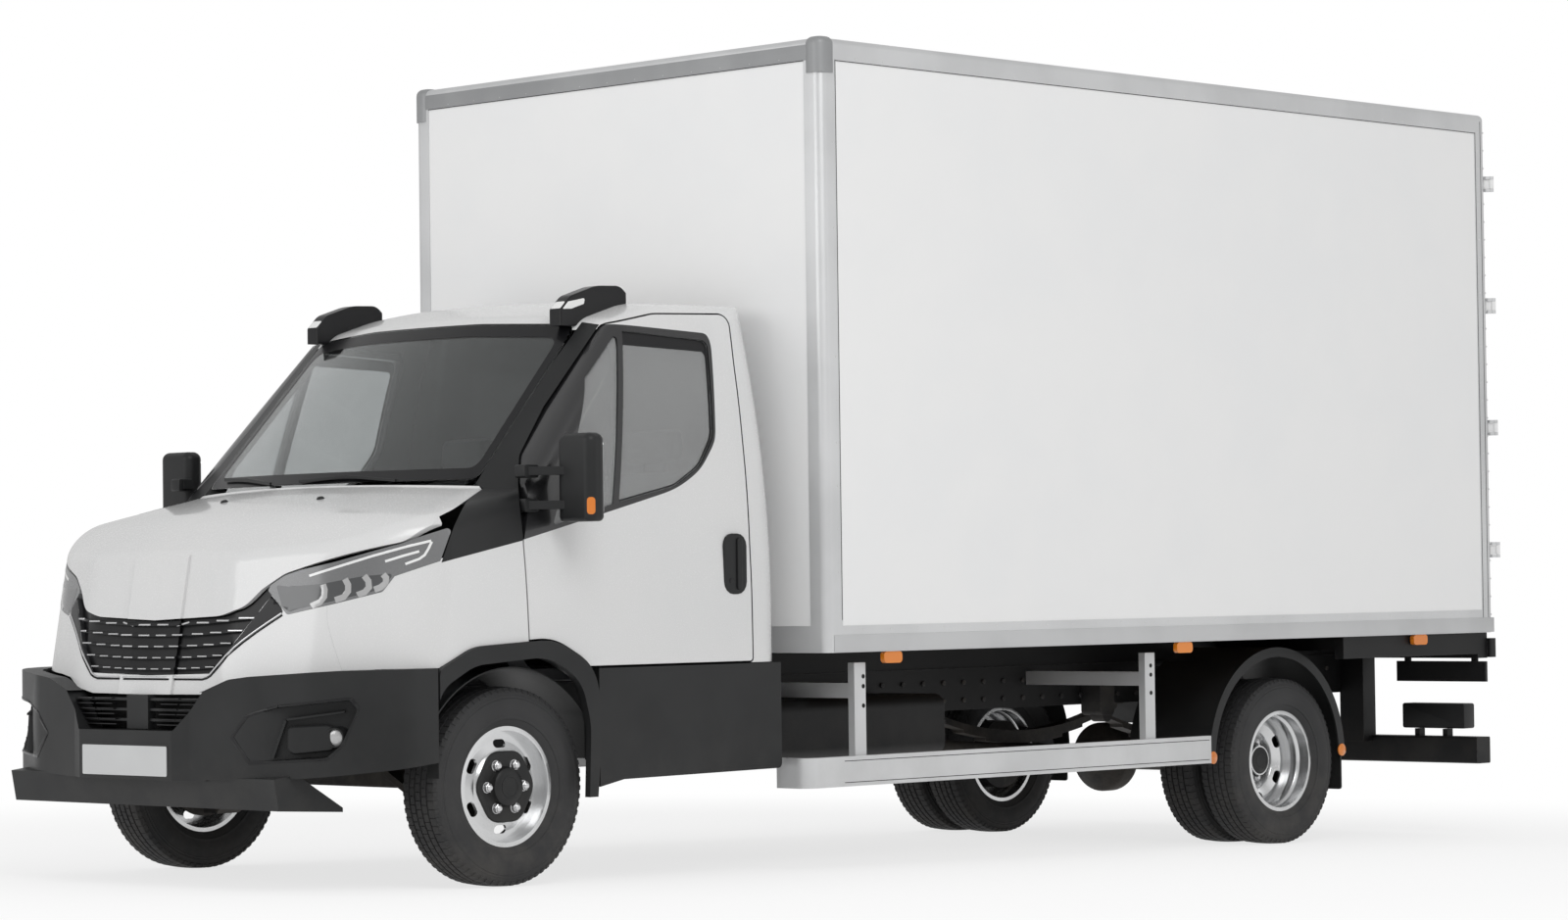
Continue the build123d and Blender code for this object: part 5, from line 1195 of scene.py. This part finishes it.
reflectors = []
for back in lowSettings["reflectors"]:
    middle = lowSettings["guardMiddle"]
    place = castOnto(skinTree("rear_mudguards"), "side", back, middle[1], middle)[0]
    reflectors.append(turned(lowSettings["reflector"], place, count=32))
addPiece("guardReflectors", reflectors, "amberLens", bothSides=True)
jets = []
for x in lowSettings["jets"]:
    place, normal = castOnto(skinTree("bonnet"), "top", x, lowSettings["jetBack"])
    jets.append(turned(lowSettings["jet"], place, normal, 20))
addPiece("washerJets", jets, "blackMoulding", "bonnet")

boltPlaces = []
for k in range(lowSettings["railBolts"]):
    for up in lowSettings["railUps"]:
        back = lowSettings["railFrom"] + k * lowSettings["railPitch"]
        place, normal = castOnto(skinTree("chassis_frame"), "side", back, up)
        if place is not None and normal.x > lowSettings["railFacing"]:
            boltPlaces += [((side * place.x, place.y, place.z), (side, 0, 0), (0, 0, 1)) for side in (1, -1)]
repeatPiece("railBolts", standing(lowSettings["railBolt"], 6), boltPlaces, "castMetal")
print("lower parts ready")

# Camera, floor and light
cameraSettings = {"place": (11.9844, -12.3424, 0.8709), "azimuth": 44.22, "pitch": 2.392, "lens": 97.48, "sensor": 36.0}
azimuth, pitch = math.radians(cameraSettings["azimuth"]), math.radians(cameraSettings["pitch"])
ahead = Vector((-math.sin(azimuth) * math.cos(pitch), math.cos(azimuth) * math.cos(pitch), math.sin(pitch)))
across = Vector((math.cos(azimuth), math.sin(azimuth), 0))
cameraData = bpy.data.cameras.new("camera")
cameraData.lens = cameraSettings["lens"]
cameraData.sensor_width = cameraSettings["sensor"]
cameraData.clip_end = 500
camera = newObject("camera", cameraData)
turn = Matrix((across, across.cross(ahead), -ahead)).transposed().to_4x4()
camera.matrix_world = Matrix.Translation(cameraSettings["place"]) @ turn
bpy.context.scene.camera = camera
bpy.context.scene.view_settings.view_transform = "Standard"

lightSettings = {
    "sky": 0.62, "floorHalf": 140.0, "paper": (0.93, 0.93, 0.93, 1), "fade": (3.4, 7.0, 0.74, 1.0),
    # columns: name, place, aim, size, power
    "lamps": [
        ("keyLamp", (9.0, -6.0, 9.0), (0.0, 0.0, 1.2), (6.0, 6.0), 420.0),
        ("sideLamp", (12.0, 5.0, 4.0), (1.0, 1.0, 1.4), (5.0, 8.0), 60.0),
        ("frontLamp", (-3.0, -14.0, 5.0), (0.0, -3.0, 1.2), (9.0, 6.0), 300.0),
    ],
}


def emptyTree(owner, output):
    # the node tree of a material or world with nothing but its output
    owner.use_nodes = True
    owner.node_tree.nodes.clear()
    return owner.node_tree, owner.node_tree.nodes.new(output).inputs[0]


def seenBy(tree, *rays):
    # 1 for any of the named kinds of ray
    path = addNode(tree, "ShaderNodeLightPath").outputs
    seen = path["Is %s Ray" % rays[0]]
    for ray in rays[1:]:
        seen = mathNode(tree, "MAXIMUM", seen, path["Is %s Ray" % ray])
    return seen


def stageFloor():
    size = lightSettings["floorHalf"]
    mesh = meshOf("floor", [(-size, -size, 0), (size, -size, 0), (size, size, 0), (-size, size, 0)], [(0, 1, 2, 3)])
    material = bpy.data.materials.new("floorPaper")
    tree, out = emptyTree(material, "ShaderNodeOutputMaterial")
    paper = addNode(tree, "ShaderNodeBsdfDiffuse", Color=lightSettings["paper"])
    white = addNode(tree, "ShaderNodeEmission", Color=(1, 1, 1, 1), Strength=1.0)
    away = rampBetween(tree, vectorNode(tree, "LENGTH", objectPlace(tree)), *lightSettings["fade"])
    fade = mathNode(tree, "MULTIPLY", away, seenBy(tree, "Camera", "Glossy", "Transmission"))
    mix = addNode(tree, "ShaderNodeMixShader", i0=fade, i1=paper.outputs[0], i2=white.outputs[0])
    tree.links.new(mix.outputs[0], out)
    mesh.materials.append(material)
    newObject("floor", mesh)


def stageWorld():
    world = bpy.data.worlds.new("studio")
    bpy.context.scene.world = world
    tree, out = emptyTree(world, "ShaderNodeOutputWorld")
    white, soft = (addNode(tree, "ShaderNodeBackground", Color=(1, 1, 1, 1), Strength=strength).outputs[0]
                   for strength in (1.0, lightSettings["sky"]))
    mix = addNode(tree, "ShaderNodeMixShader", i0=seenBy(tree, "Camera", "Transmission"), i1=soft, i2=white)
    tree.links.new(mix.outputs[0], out)


def stageLamp(name, place, aim, size, power):
    data = bpy.data.lights.new(name, "AREA")
    data.shape = "RECTANGLE"
    data.size, data.size_y = size
    data.energy = power
    turn = (Vector(aim) - Vector(place)).to_track_quat("-Z", "Y").to_matrix().to_4x4()
    newObject(name, data).matrix_world = Matrix.Translation(place) @ turn


stageFloor()
stageWorld()
for row in lightSettings["lamps"]:
    stageLamp(*row)
print("stage ready")
